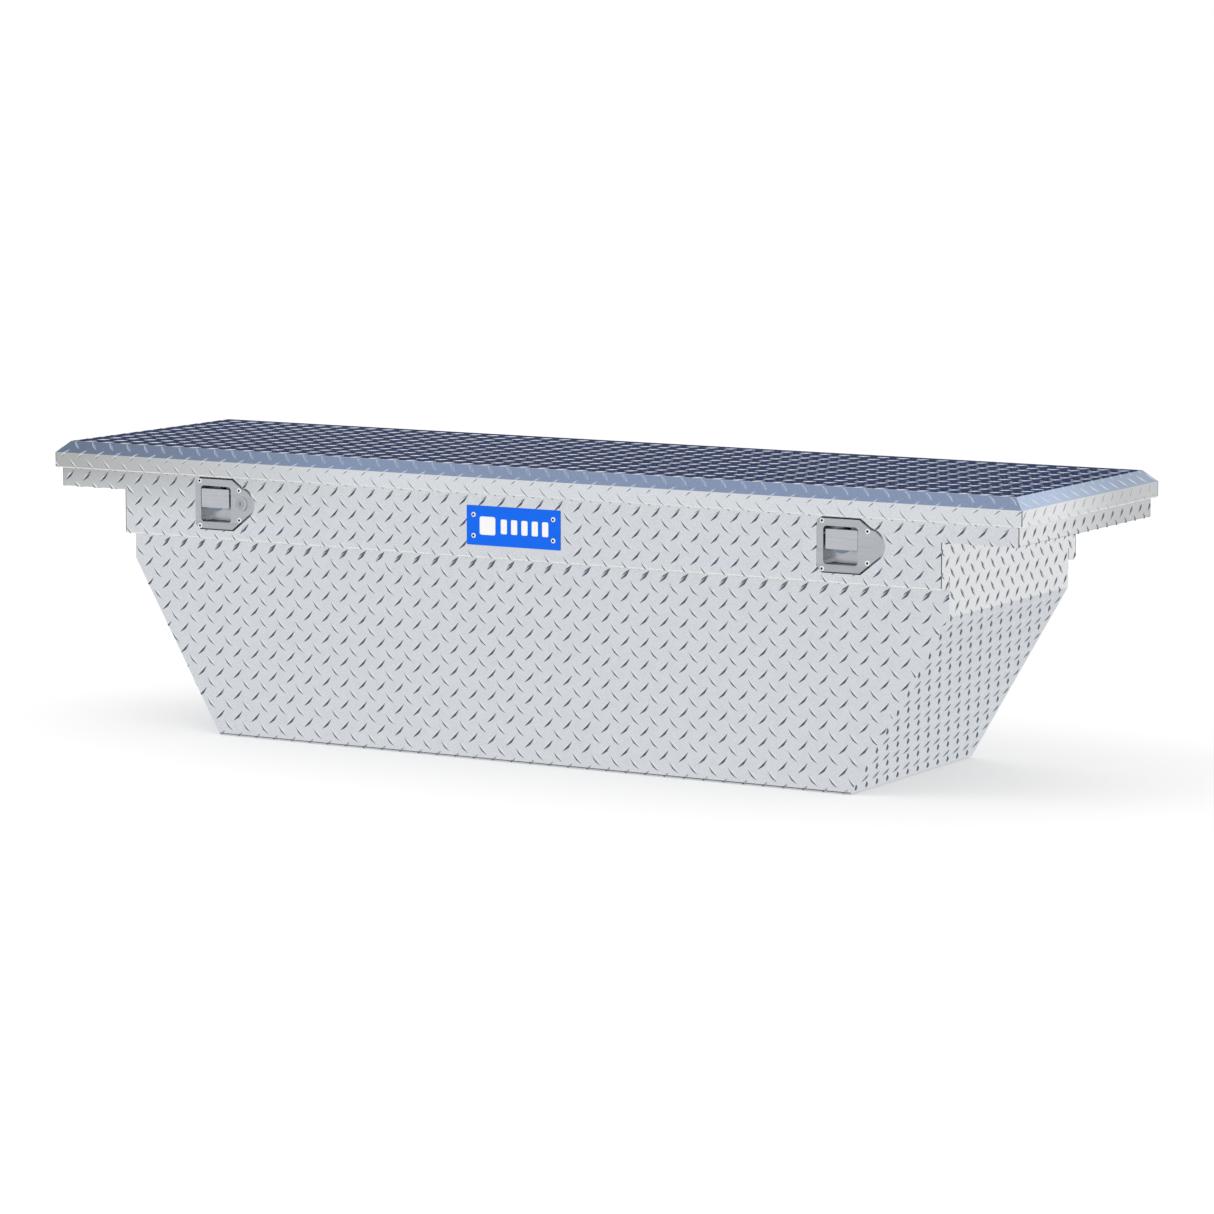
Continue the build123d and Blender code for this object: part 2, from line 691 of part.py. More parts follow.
# ---------------------------------------------------------------- lock
with BuildPart() as lock_housing:
    face = -flange_face - lock_boss_rise
    cylinder_y(lock_housing_radius, lock_x, face, -lock_back, lock_z)
    cylinder_y(lock_plug_radius + running_clearance, lock_x, face - past, past - lock_back, lock_z,
               Mode.SUBTRACT)
finish(lock_housing, "lock_housing")

with BuildPart() as lock_plug:
    cylinder_y(lock_plug_radius, lock_x, face, -lock_back, lock_z)
    box_between(
        (lock_x - key_slot[0] / 2, face - past, lock_z - key_slot[1] / 2),
        (lock_x + key_slot[0] / 2, face + key_slot[2], lock_z + key_slot[1] / 2), Mode.SUBTRACT,
    )
    cylinder_y(cam_screw_radius, lock_x, -lock_back - cam_screw_length, past - lock_back, lock_z,
               Mode.SUBTRACT)
finish(lock_plug, "lock_plug")

with BuildPart() as lock_nut:
    with BuildSketch(Plane.XZ.offset(rail_y - sheet)):
        with Locations((lock_x, lock_z)):
            RegularPolygon(lock_nut_flats / 2, 6, major_radius=False)
            Circle(lock_housing_radius, mode=Mode.SUBTRACT)
    extrude(amount=-lock_nut_thick)
finish(lock_nut, "lock_nut")

with BuildPart() as lock_cam:
    with BuildSketch(Plane.XZ.offset(lock_back)):
        with Locations((lock_x, lock_z)):
            Circle(cam_boss_radius)
        with Locations((lock_x, lock_z - cam_length / 2)):
            Rectangle(cam_width, cam_length)
        with Locations((lock_x, lock_z)):
            Circle(cam_screw_radius, mode=Mode.SUBTRACT)
    extrude(amount=-cam_sheet)
finish(lock_cam, "lock_cam")

with BuildPart() as lock_cam_screw:
    cam_back = -lock_back + cam_sheet
    cylinder_y(cam_screw_radius, lock_x, -lock_back - cam_screw_length, cam_back, lock_z)
    cylinder_y(cam_screw_head / 2, lock_x, cam_back, cam_back + cam_screw_head_height, lock_z)
finish(lock_cam_screw, "lock_cam_screw")

# ---------------------------------------------------------------- cross shaft with cranks and hooks
shaft_low = latch_centers["left"] - bracket_offset - shaft_overrun
shaft_high = latch_centers["right"] + hook_offset + hook_sheet + shaft_overrun
with BuildPart() as cross_shaft:
    cylinder_x(shaft_radius, shaft_low, shaft_high, shaft_y, shaft_z)
finish(cross_shaft, "cross_shaft")

for side, center in latch_centers.items():
    near = center + tail_sheet / 2 + crank_gap
    pin_y = shaft_y - crank_radius * cos(tail_angle)
    pin_z = shaft_z + crank_radius * sin(tail_angle)
    with BuildPart() as crank:
        with BuildSketch(Plane.YZ.offset(near)):
            with Locations((shaft_y, shaft_z)):
                Circle(crank_hub_radius)
            with Locations((pin_y, pin_z)):
                Circle(crank_eye_radius)
            with Locations(Location(((shaft_y + pin_y) / 2, (shaft_z + pin_z) / 2, 0), -half_travel)):
                Rectangle(crank_radius, crank_arm_width)
            with Locations((shaft_y, shaft_z)):
                Circle(shaft_radius, mode=Mode.SUBTRACT)
        extrude(amount=crank_sheet)
        cylinder_x(drive_pin_radius, near - crank_gap - tail_sheet - past, near + crank_sheet, pin_y, pin_z)
    finish(crank, f"crank_{side}")

    near = center + hook_offset
    with BuildPart() as hook:
        with BuildSketch(Plane.YZ.offset(near)):
            with Locations((shaft_y, shaft_z)):
                Circle(crank_hub_radius)
            with BuildLine():
                Polyline(
                    (shaft_y - hook_arm_width / 2, shaft_z), (shaft_y + hook_arm_width / 2, shaft_z),
                    (shaft_y + hook_arm_width / 2, shaft_z + hook_height - nose_height),
                    (shaft_y + nose_length, shaft_z + hook_height - nose_height),
                    (shaft_y + nose_length, shaft_z + hook_height - nose_height / 2),
                    (shaft_y + hook_arm_width / 2, shaft_z + hook_height),
                    (shaft_y - hook_arm_width / 2, shaft_z + hook_height), close=True,
                )
            make_face()
            with Locations((shaft_y, shaft_z)):
                Circle(shaft_radius, mode=Mode.SUBTRACT)
        extrude(amount=hook_sheet)
    finish(hook, f"hook_{side}")

bracket_lines = (
    latch_centers["left"] - bracket_offset, 0.0, latch_centers["right"] - bracket_offset,
)
bracket_reach = shaft_y + bush_radius + bracket_sheet
with BuildPart() as shaft_brackets:
    for x in bracket_lines:
        low = shaft_z - bracket_height / 2
        high = shaft_z + bracket_height / 2
        with BuildSketch(Plane.YZ.offset(x)):
            with BuildLine():
                Polyline(
                    (sheet - rail_y, low), (sheet + bracket_sheet - rail_y, low),
                    (shaft_y, shaft_z - bush_radius - bracket_sheet), (bracket_reach, shaft_z - bush_radius),
                    (bracket_reach, shaft_z + bush_radius), (shaft_y, shaft_z + bush_radius + bracket_sheet),
                    (sheet + bracket_sheet - rail_y, high), (sheet - rail_y, high), close=True,
                )
            make_face()
            with Locations((shaft_y, shaft_z)):
                Circle(bush_radius, mode=Mode.SUBTRACT)
        extrude(amount=bracket_sheet)
        box_between((x - bracket_foot, sheet - rail_y, low), (x, sheet + bracket_sheet / 2 - rail_y, high))
finish(shaft_brackets, "shaft_brackets")

with BuildPart() as shaft_bushes:
    for x in bracket_lines:
        cylinder_x(bush_radius, x, x + bracket_sheet, shaft_y, shaft_z)
        cylinder_x(bush_collar_radius, x + bracket_sheet, x + bracket_sheet + bush_collar, shaft_y, shaft_z)
    cylinder_x(shaft_radius + running_clearance, shaft_low, shaft_high, shaft_y, shaft_z, Mode.SUBTRACT)
finish(shaft_bushes, "shaft_bushes")

# ---------------------------------------------------------------- strikers on the lid
striker_z = liner_z - striker_bar_drop
striker_rivet_spots = []
for side, center in latch_centers.items():
    middle = center + hook_offset + hook_sheet / 2
    leg_x = striker_inside / 2 + striker_leg
    with BuildPart() as striker:
        box_between(
            (middle - striker_base[0] / 2, striker_y - striker_base[1] / 2, liner_z - striker_leg),
            (middle + striker_base[0] / 2, striker_y + striker_base[1] / 2, liner_z),
        )
        for sign in sides.values():
            near, far = sorted((middle + sign * striker_inside / 2, middle + sign * leg_x))
            box_between(
                (near, striker_y - striker_leg_width / 2, striker_z - striker_leg_width / 2),
                (far, striker_y + striker_leg_width / 2, liner_z - striker_leg),
            )
        cylinder_x(striker_bar_radius, middle - leg_x, middle + leg_x, striker_y, striker_z)
    finish(striker, f"striker_{side}")
    for sign in sides.values():
        rivet_x = middle + sign * (striker_base[0] / 2 - rivet_head_radius)
        striker_rivet_spots.append((rivet_x, striker_y, liner_z - striker_leg))

with BuildPart() as button_rivet:
    Cylinder(rivet_head_radius, rivet_head_height, align=(Align.CENTER, Align.CENTER, Align.MAX))
    fillet(button_rivet.edges().sort_by(Axis.Z)[0], radius=rivet_head_height * rivet_flat)

with BuildPart() as striker_rivets:
    with Locations(*striker_rivet_spots):
        add(button_rivet.part)
finish(striker_rivets, "striker_rivets")

# ---------------------------------------------------------------- gas struts
tube_length = strut_closed - strut_tube_start - eye_radius - strut_end_gap
rod_length = strut_open - strut_tube_start - tube_length + strut_tube_end + stroke_reserve + piston_length
upper_rivet_spots = []
cap_start = eye_width / 2 + stud_cap_gap
cap_end = cap_start + stud_cap
for side, sign in sides.items():
    axis_x = sign * strut_x
    along = Plane(
        origin=(axis_x, strut_lower[0], strut_lower[1]), x_dir=(1, 0, 0),
        z_dir=(0, cos(radians(strut_angle)), sin(radians(strut_angle))),
    )
    with BuildPart() as strut_tube:
        with BuildSketch(along.offset(strut_tube_start)):
            Circle(strut_tube_radius)
        extrude(amount=tube_length)
        with BuildSketch(along.offset(strut_tube_start + strut_tube_end)):
            Circle(strut_tube_bore)
        extrude(amount=tube_length - 2 * strut_tube_end, mode=Mode.SUBTRACT)
        with BuildSketch(along.offset(strut_tube_start + tube_length)):
            Circle(strut_rod_radius + strut_rod_clearance)
        extrude(amount=-strut_tube_end - past, mode=Mode.SUBTRACT)
        with BuildSketch(along):
            Circle(strut_rod_radius)
        extrude(amount=strut_tube_start + past)
        cylinder_x(eye_radius, axis_x - eye_width / 2, axis_x + eye_width / 2, *strut_lower)
        cylinder_x(stud_radius + running_clearance, axis_x - eye_width, axis_x + eye_width,
                   *strut_lower, Mode.SUBTRACT)
    finish(strut_tube, f"strut_tube_{side}")

    with BuildPart() as strut_rod:
        with BuildSketch(along.offset(strut_closed - rod_length)):
            Circle(strut_rod_radius)
        extrude(amount=rod_length)
        with BuildSketch(along.offset(strut_closed - rod_length)):
            Circle(piston_radius)
        extrude(amount=piston_length)
        cylinder_x(eye_radius, axis_x - eye_width / 2, axis_x + eye_width / 2, *strut_upper)
        cylinder_x(stud_radius + running_clearance, axis_x - eye_width, axis_x + eye_width,
                   *strut_upper, Mode.SUBTRACT)
    finish(strut_rod, f"strut_rod_{side}")

    wall_x = sign * (tub_x - sheet)
    with BuildPart() as lower_bracket:
        near, far = sorted((wall_x, wall_x - sign * bracket_plate))
        box_between(
            (near, strut_lower[0] - lower_plate[0] / 2, bend_z + bracket_lift),
            (far, strut_lower[0] + lower_plate[0] / 2, bend_z + bracket_lift + lower_plate[1]),
        )
        cylinder_x(stud_radius, wall_x - sign * bracket_plate, axis_x - sign * cap_end, *strut_lower)
        cylinder_x(stud_cap_radius, axis_x - sign * cap_start, axis_x - sign * cap_end, *strut_lower)
    finish(lower_bracket, f"strut_lower_bracket_{side}")

    plate_x = axis_x + sign * (strut_tube_radius + plate_gap)
    with BuildPart() as upper_bracket:
        near, far = sorted((plate_x, plate_x + sign * bracket_plate))
        box_between(
            (near, strut_upper[0] - upper_plate[0] / 2, strut_upper[1] - stud_radius - plate_rim),
            (far, strut_upper[0] + upper_plate[0] / 2, liner_z),
        )
        foot_near, foot_far = sorted((plate_x, plate_x + sign * upper_plate[1]))
        box_between(
            (foot_near, strut_upper[0] - upper_plate[0] / 2, liner_z - bracket_plate),
            (foot_far, strut_upper[0] + upper_plate[0] / 2, liner_z),
        )
        cylinder_x(stud_radius, plate_x, axis_x - sign * cap_end, *strut_upper)
        cylinder_x(stud_cap_radius, axis_x - sign * cap_start, axis_x - sign * cap_end, *strut_upper)
    finish(upper_bracket, f"strut_upper_bracket_{side}")
    for step in (-1, 1):
        upper_rivet_spots.append((
            plate_x + sign * (upper_plate[1] + bracket_plate) / 2,
            strut_upper[0] + step * upper_plate[0] / 4, liner_z - bracket_plate,
        ))

with BuildPart() as upper_bracket_rivets:
    with Locations(*upper_rivet_spots):
        add(button_rivet.part)
finish(upper_bracket_rivets, "upper_bracket_rivets")

with BuildPart() as lower_bracket_rivets:
    for sign in sides.values():
        for step in (-1, 1):
            spot = (sign * (tub_x - sheet - bracket_plate), strut_lower[0] + step * lower_plate[0] / 4,
                    bend_z + lower_plate[1] - rivet_head_radius)
            with Locations(Location(spot, (0, sign * 90, 0))):
                add(button_rivet.part)
finish(lower_bracket_rivets, "lower_bracket_rivets")
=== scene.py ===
import json
import math

import bmesh
import bpy
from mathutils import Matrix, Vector


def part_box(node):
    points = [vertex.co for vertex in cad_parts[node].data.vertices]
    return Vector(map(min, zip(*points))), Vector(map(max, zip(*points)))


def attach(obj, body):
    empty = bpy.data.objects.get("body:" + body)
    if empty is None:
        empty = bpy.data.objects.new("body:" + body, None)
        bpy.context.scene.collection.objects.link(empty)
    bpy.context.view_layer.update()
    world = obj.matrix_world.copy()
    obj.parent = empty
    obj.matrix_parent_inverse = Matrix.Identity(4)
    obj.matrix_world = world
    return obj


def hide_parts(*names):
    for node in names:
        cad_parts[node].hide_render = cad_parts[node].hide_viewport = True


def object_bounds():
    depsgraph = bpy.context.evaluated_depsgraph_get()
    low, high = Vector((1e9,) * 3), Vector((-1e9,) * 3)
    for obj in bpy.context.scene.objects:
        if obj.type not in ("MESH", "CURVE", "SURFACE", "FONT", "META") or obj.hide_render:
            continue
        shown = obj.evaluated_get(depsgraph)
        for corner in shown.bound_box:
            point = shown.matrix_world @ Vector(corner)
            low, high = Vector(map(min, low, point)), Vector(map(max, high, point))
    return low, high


# Looks of the truck tool box: tread plate with raised lugs, latches, rivets, nameplate and a white
# studio. Metres, in the part's own frame.

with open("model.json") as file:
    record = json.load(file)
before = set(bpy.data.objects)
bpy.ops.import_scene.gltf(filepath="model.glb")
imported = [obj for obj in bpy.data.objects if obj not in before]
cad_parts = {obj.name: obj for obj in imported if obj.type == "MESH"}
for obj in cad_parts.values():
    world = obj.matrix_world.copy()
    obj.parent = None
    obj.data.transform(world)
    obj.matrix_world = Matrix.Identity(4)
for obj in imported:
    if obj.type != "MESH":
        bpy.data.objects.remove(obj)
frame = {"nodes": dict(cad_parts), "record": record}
cad_low, cad_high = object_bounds()

# ---------------------------------------------------------------- sizes
sheet = 0.0015              # tread plate without its lugs
lug_pitch = 0.035
lug_length = 0.0265
lug_size = (0.0074, 0.0016)      # width and height of a lug on the body
lid_lug_size = (0.0056, 0.0007)
lid_top_lug_size = (0.0038, 0.0007)
lug_sink = 0.0002           # how far a lug's foot sits in the sheet
lug_stations = (-0.75, -0.4, 0.0, 0.4, 0.75)
lug_section = ((-1.0, 0.0), (-0.3, 0.8), (0.0, 1.0), (0.3, 0.8), (1.0, 0.0))
bend_radius = 0.0024        # outer face of a bend
inner_bend_radius = 0.0015  # outer face of a bend that turns the other way
bend_step = math.radians(15)
bend_ease = 0.0006          # flat strip beside each bend that keeps its shading crisp
sharp_angle = math.radians(30)
seam_gap = 0.0003           # at each side of an open corner seam

bevel_run = 0.019           # plan width of the lid's bevel
bevel_rise = 0.0185
hem_height = 0.012
end_run = 0.166             # how far each tub end leans in
bend_rise = 0.284           # where it starts to
rim_flange = 0.025
lap = 0.018
wing_rise = 0.0725          # wing underside above the rail's lower edge

# ---------------------------------------------------------------- places from the frame
tub_low, tub_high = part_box("tub")
rail_low, rail_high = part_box("front_rail")
skin_low, skin_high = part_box("lid_skin")
tub_x, tub_y = tub_high.x, tub_high.y
wing_x, rail_y = rail_high.x, -rail_low.y
rail_z, rim_z = rail_low.z, rail_high.z
wing_z = rail_z + wing_rise
bottom_x = tub_x - end_run
lid_x, lid_y = skin_high.x, skin_high.y
skirt_z, top_z = skin_low.z, skin_high.z
bevel_z = top_z - bevel_rise
latch_boxes = {side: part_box(f"latch_pan_{side}") for side in ("left", "right")}
latch_middle_z = (latch_boxes["left"][0].z + latch_boxes["left"][1].z) / 2
dish_half = 0.0295          # half the height of a latch's dish


# EDGE is the light, nearly non-metallic edge material: burnished bends and hems with a painted highlight line
SHEET, LUG, EDGE = 0, 1, 2  # material numbers of a tread plate piece


# ---------------------------------------------------------------- meshes
class Shape:
    """Vertices and faces of one piece while it is being made; each face has a material number."""

    def __init__(self):
        self.points = []
        self.faces = []
        self.slots = []

    def add(self, points, faces, slot=0):
        first = len(self.points)
        self.points.extend(points)
        self.faces.extend([first + i for i in face] for face in faces)
        self.slots.extend([slot] * len(faces))

    def prism(self, first, last, slot=0):
        """A closed solid between two outlines with the same number of points."""
        count = len(first)
        faces = [list(range(count))[::-1], list(range(count, 2 * count))]
        for i in range(count):
            after = (i + 1) % count
            faces.append([i, after, count + after, count + i])
        self.add([*first, *last], faces, slot)

    def build(self, name, materials, body, stands_for=()):
        """Make the object, shade it and hang it on its body."""
        mesh = bpy.data.meshes.new(name)
        mesh.from_pydata([tuple(p) for p in self.points], [], self.faces)
        mesh.polygons.foreach_set("material_index", self.slots)
        for material in materials:
            mesh.materials.append(material)
        work = bmesh.new()
        work.from_mesh(mesh)
        bmesh.ops.recalc_face_normals(work, faces=work.faces)
        work.to_mesh(mesh)
        work.free()
        mesh.shade_smooth()
        mesh.set_sharp_from_angle(angle=sharp_angle)
        piece = bpy.data.objects.new(name, mesh)
        bpy.context.scene.collection.objects.link(piece)
        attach(piece, body)
        if stands_for:
            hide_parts(*stands_for)
        return piece


def turned(vector, angle):
    """A plane vector turned anticlockwise."""
    x, y = vector
    return (x * math.cos(angle) - y * math.sin(angle), x * math.sin(angle) + y * math.cos(angle))


def fold(corners):
    """Stations along a folded sheet: (place, outward normal, length so far). The outside is on the left.
    Corners are points of the outer face."""
    steps = [Vector(b) - Vector(a) for a, b in zip(corners, corners[1:])]
    ways = [step.normalized() for step in steps]
    marks = [(Vector(corners[0]), (-ways[0].y, ways[0].x))]
    for corner, way, after in zip(corners[1:-1], ways, ways[1:]):
        corner = Vector(corner)
        turn = math.atan2(way.x * after.y - way.y * after.x, way.dot(after))
        normal = (-way.y, way.x)
        if abs(turn) < bend_step / 2:
            marks.append((corner, normal))
            continue
        side = math.copysign(1, turn)
        radius = inner_bend_radius if turn > 0 else bend_radius
        reach = radius * math.tan(abs(turn) / 2)
        start = corner - way * reach
        middle = start + Vector(normal) * side * radius
        count = max(2, round(abs(turn) / bend_step))
        marks.append((start - way * bend_ease, normal))
        for i in range(count + 1):
            angle = turn * i / count
            arm = turned(start - middle, angle)
            marks.append((middle + Vector(arm), turned(normal, angle)))
        marks.append((corner + after * (reach + bend_ease), (-after.y, after.x)))
    marks.append((Vector(corners[-1]), (-ways[-1].y, ways[-1].x)))
    stations = []
    length = 0.0
    for i, (place, normal) in enumerate(marks):
        if i:
            length += (place - marks[i - 1][0]).length
        stations.append((place, Vector(normal), length))
    return stations


def on_fold(stations, length):
    """Place and normal at a length along the folded sheet."""
    pairs = list(zip(stations, stations[1:]))
    for (place, normal, low), (after, normal_after, high) in pairs:
        if length <= high or high == stations[-1][2]:
            share = (length - low) / (high - low)
            return place.lerp(after, share), normal.lerp(normal_after, share).normalized()
    return stations[-1][:2]


def across_x(along, place, normal, height):
    """A profile in Y and Z that runs along X."""
    point = place + normal * height
    return (along, point.x, point.y)


def across_y(along, place, normal, height):
    """A profile in X and Z that runs along Y."""
    point = place + normal * height
    return (point.x, along, point.y)


def sheet_of(shape, stations, half_at, put, thickness=sheet, cuts=(), skip=None, worn_and_highlit=None):
    """A closed folded sheet with straight or mitred ends. cuts are extra columns, skip leaves cells out,
    worn_and_highlit picks the cells that take the edge material: burnished, and a painted highlight."""
    columns = [-1.0, *cuts, 1.0]
    outer, inner = [], []
    for place, normal, _ in stations:
        half = half_at(place)
        row = [column * half if abs(column) == 1.0 else column for column in columns]
        outer.append([put(u, place, normal, 0.0) for u in row])
        inner.append([put(u, place, normal, -thickness) for u in row])
    width, count = len(columns), len(stations)
    back = width * count

    def middle_of(i, j):
        return [(a + b) / 2 for a, b in zip(outer[i][j], outer[i + 1][j + 1])]

    kept = {(i, j) for i in range(count - 1) for j in range(width - 1)
            if not (skip and skip(middle_of(i, j)))}
    faces, burnished_and_highlit = [], []
    for i, j in sorted(kept):
        cell = [i * width + j, i * width + j + 1, (i + 1) * width + j + 1, (i + 1) * width + j]
        beyond = [(i - 1, j), (i, j + 1), (i + 1, j), (i, j - 1)]
        (burnished_and_highlit if worn_and_highlit and worn_and_highlit(middle_of(i, j)) else faces).append(cell)
        faces.append([back + corner for corner in reversed(cell)])
        for a, b, other in zip(cell, cell[1:] + cell[:1], beyond):
            if other not in kept:
                faces.append([b, a, back + a, back + b])
    first = len(shape.points)
    shape.add([p for row in outer + inner for p in row], faces)
    shape.faces.extend([first + k for k in face] for face in burnished_and_highlit)
    shape.slots.extend([EDGE] * len(burnished_and_highlit))


def bar_of(shape, outline, half_at, put, slot=0):
    """A solid bar with a closed outline and straight or mitred ends."""
    nowhere = Vector((0, 0))
    ends = [[put(sign * half_at(Vector(p)), Vector(p), nowhere, 0.0) for p in outline] for sign in (-1, 1)]
    shape.prism(*ends, slot)


# ---------------------------------------------------------------- lugs
def lug_solid(center, lean, size):
    """One raised lug in the flat sheet: (along, up the sheet, height) points and its faces."""
    way = Vector((math.cos(lean), math.sin(lean)))
    side = Vector((-way.y, way.x))
    points = []

    def put(t, across, height):
        spot = Vector(center) + way * t * lug_length / 2 + side * across
        points.append((spot.x, spot.y, height))

    put(-1, 0, -lug_sink)
    for t in lug_stations:
        swell = 1 - abs(t) ** 1.3
        for share, rise in lug_section:
            height = size[1] * rise * swell if rise else -lug_sink
            put(t, share * size[0] / 2 * swell, height)
    put(1, 0, -lug_sink)
    wide = len(lug_section)
    last = len(points) - 1
    faces = []
    for k in range(wide - 1):
        faces.append([0, 1 + k, 2 + k])
        faces.append([last, last - 1 - k, last - 2 - k])
        for row in range(len(lug_stations) - 1):
            a = 1 + row * wide + k
            faces.append([a, a + wide, a + wide + 1, a + 1])
    left = [1 + row * wide for row in range(len(lug_stations))]
    right = [a + wide - 1 for a in reversed(left)]
    faces.append([0, *right[::-1], last, *left[::-1]])
    return points, faces


def cut_solid(points, faces, planes):
    """What is left of a small closed solid inside all the planes (normal x, normal y, limit)."""
    cutting = []
    for nx, ny, limit in planes:
        beyond = [nx * x + ny * y - limit for x, y, _ in points]
        if min(beyond) >= 0:
            return [], []
        if max(beyond) > 0:
            cutting.append((nx, ny, limit))
    if not cutting:
        return points, faces
    work = bmesh.new()
    made = [work.verts.new(p) for p in points]
    for face in faces:
        work.faces.new([made[i] for i in face])
    for nx, ny, limit in cutting:
        run = nx * nx + ny * ny
        bmesh.ops.bisect_plane(
            work, geom=[*work.verts, *work.edges, *work.faces], dist=1e-7,
            plane_co=(nx * limit / run, ny * limit / run, 0), plane_no=(nx, ny, 0), clear_outer=True,
        )
        rim = [edge for edge in work.edges if edge.is_boundary]
        if rim:
            bmesh.ops.holes_fill(work, edges=rim, sides=0)
    work.verts.index_update()
    result = [tuple(v.co) for v in work.verts], [[v.index for v in f.verts] for f in work.faces]
    work.free()
    return result


def lug_centers(along, up, phase):
    """Centre and lean of every lug that can reach the ranges; phase is the centre of one "/" lug."""
    reach = lug_length / 2
    for half, lean in ((0.0, math.radians(45)), (0.5, math.radians(135))):
        rows = []
        for (low, high), start in zip((along, up), phase):
            start += half * lug_pitch
            first = math.ceil((low - reach - start) / lug_pitch)
            last = math.floor((high + reach - start) / lug_pitch)
            rows.append([start + i * lug_pitch for i in range(first, last + 1)])
        for u in rows[0]:
            for s in rows[1]:
                yield (u, s), lean


def hole_planes(center, holes):
    """The planes that keep a lug out of (low, high, low, high) holes; None if its centre is in one."""
    planes = []
    for low_u, high_u, low_s, high_s in holes:
        gap, plane = max(
            (low_u - center[0], (1, 0, low_u)), (center[0] - high_u, (-1, 0, -high_u)),
            (low_s - center[1], (0, 1, low_s)), (center[1] - high_s, (0, -1, -high_s)),
        )
        if gap < 0:
            return None
        if gap < lug_length / 2:
            planes.append(plane)
    return planes


def lay_lugs(shape, along, up, phase, planes, to_space, holes=(), wanted=None, size=lug_size):
    """Cover part of a flat pattern with lugs. along and up are its ranges, planes bound it, holes stay
    free, wanted picks by centre and to_space maps (u, s, height)."""
    for center, lean in lug_centers(along, up, phase):
        around = hole_planes(center, holes)
        if around is None or (wanted and not wanted(center)):
            continue
        points, faces = cut_solid(*lug_solid(center, lean, size), [*planes, *around])
        if faces:
            shape.add([to_space(*p) for p in points], faces, LUG)


def mapping(stations, put, zero):
    """How a flat pattern whose length starts at zero goes into space."""
    def to_space(u, s, height):
        place, normal = on_fold(stations, s - zero)
        return put(u, place, normal, height)
    return to_space


# ---------------------------------------------------------------- materials
def ramp(tree, value, start, end, to=(0, 1), smooth_step=False):
    """How far a value is from start to end, or the same in the range to; end may be below start."""
    span = tree.nodes.new("ShaderNodeMapRange")
    if smooth_step:
        span.interpolation_type = "SMOOTHSTEP"
    for name, number in zip(("From Min", "From Max", "To Min", "To Max"), (start, end, *to)):
        span.inputs[name].default_value = number
    tree.links.new(value, span.inputs["Value"])
    return span.outputs["Result"]


def combine(tree, operation, one, other):
    """One of Blender's math operations on two values; the second may be a number."""
    math_node = tree.nodes.new("ShaderNodeMath")
    math_node.operation = operation
    tree.links.new(one, math_node.inputs[0])
    if isinstance(other, float):
        math_node.inputs[1].default_value = other
    else:
        tree.links.new(other, math_node.inputs[1])
    return math_node.outputs["Value"]


def product(tree, values):
    """All the values multiplied together."""
    result = values[0]
    for other in values[1:]:
        result = combine(tree, "MULTIPLY", result, other)
    return result


def mixed(tree, share, under, over):
    """Two colours mixed by a share; the first may be the result of another mix."""
    mix = tree.nodes.new("ShaderNodeMix")
    mix.data_type = "RGBA"
    tree.links.new(share, mix.inputs["Factor"])
    if isinstance(under, tuple):
        mix.inputs["A"].default_value = (*under, 1)
    else:
        tree.links.new(under, mix.inputs["A"])
    mix.inputs["B"].default_value = (*over, 1)
    return mix.outputs["Result"]


noise_low, noise_high = 0.3, 0.7    # most of a noise's values lie between these


def shader(name, color, metallic, finish, mottle=0.0, tones=()):
    """A principled material whose roughness, colour and surface vary by noise; returns it. Each of
    the tones is another colour and the (axis, from, to) ramps of the place where it shows."""
    material = bpy.data.materials.new(name)
    material.use_nodes = True
    tree = material.node_tree
    surface = tree.nodes["Principled BSDF"]
    surface.inputs["Metallic"].default_value = metallic
    place = tree.nodes.new("ShaderNodeTexCoord").outputs["Object"]

    def noise(scale, detail, stretch=(1, 1, 1)):
        mapped = tree.nodes.new("ShaderNodeMapping")
        mapped.inputs["Scale"].default_value = stretch
        tree.links.new(place, mapped.inputs["Vector"])
        texture = tree.nodes.new("ShaderNodeTexNoise")
        texture.inputs["Scale"].default_value = scale
        texture.inputs["Detail"].default_value = detail
        tree.links.new(mapped.outputs["Vector"], texture.inputs["Vector"])
        return texture.outputs["Fac"]

    roughness = ramp(tree, noise(*finish["noise"]), noise_low, noise_high, finish["range"])
    tree.links.new(roughness, surface.inputs["Roughness"])
    darker = tuple(channel * (1 - mottle) for channel in color)
    shown = mixed(tree, ramp(tree, noise(*finish["tint"]), noise_low, noise_high), darker, color)
    for tone, ramps in tones:
        axes = tree.nodes.new("ShaderNodeSeparateXYZ")
        tree.links.new(place, axes.inputs["Vector"])
        shares = [ramp(tree, axes.outputs[axis], start, end) for axis, start, end in ramps]
        shown = mixed(tree, product(tree, shares), shown, tone)
    tree.links.new(shown, surface.inputs["Base Color"])
    bump = tree.nodes.new("ShaderNodeBump")
    bump.inputs["Strength"].default_value = finish["depth"]
    bump.inputs["Distance"].default_value = finish["height"]
    tree.links.new(noise(*finish["grain"]), bump.inputs["Height"])
    tree.links.new(bump.outputs["Normal"], surface.inputs["Normal"])
    return material


rolled = {"noise": (60, 4), "range": (0.2, 0.27), "tint": (450, 4), "grain": (900, 3),
          "depth": 0.4, "height": 0.00006}
smooth = {"noise": (60, 4), "range": (0.12, 0.17), "tint": (450, 4), "grain": (700, 3),
          "depth": 0.15, "height": 0.00004}
polished = {"noise": (80, 3), "range": (0.15, 0.22), "tint": (300, 2), "grain": (600, 2),
            "depth": 0.2, "height": 0.00005}
brushed = {"noise": (400, 3, (0.08, 1, 1)), "range": (0.24, 0.34), "tint": (300, 3, (0.08, 1, 1)),
           "grain": (900, 3, (0.06, 1, 1)), "depth": 0.25, "height": 0.00004}
satin = {"noise": (200, 3, (0.1, 1, 1)), "range": (0.36, 0.46), "tint": (250, 3, (0.08, 1, 1)),
         "grain": (800, 3, (0.06, 1, 1)), "depth": 0.2, "height": 0.00004}
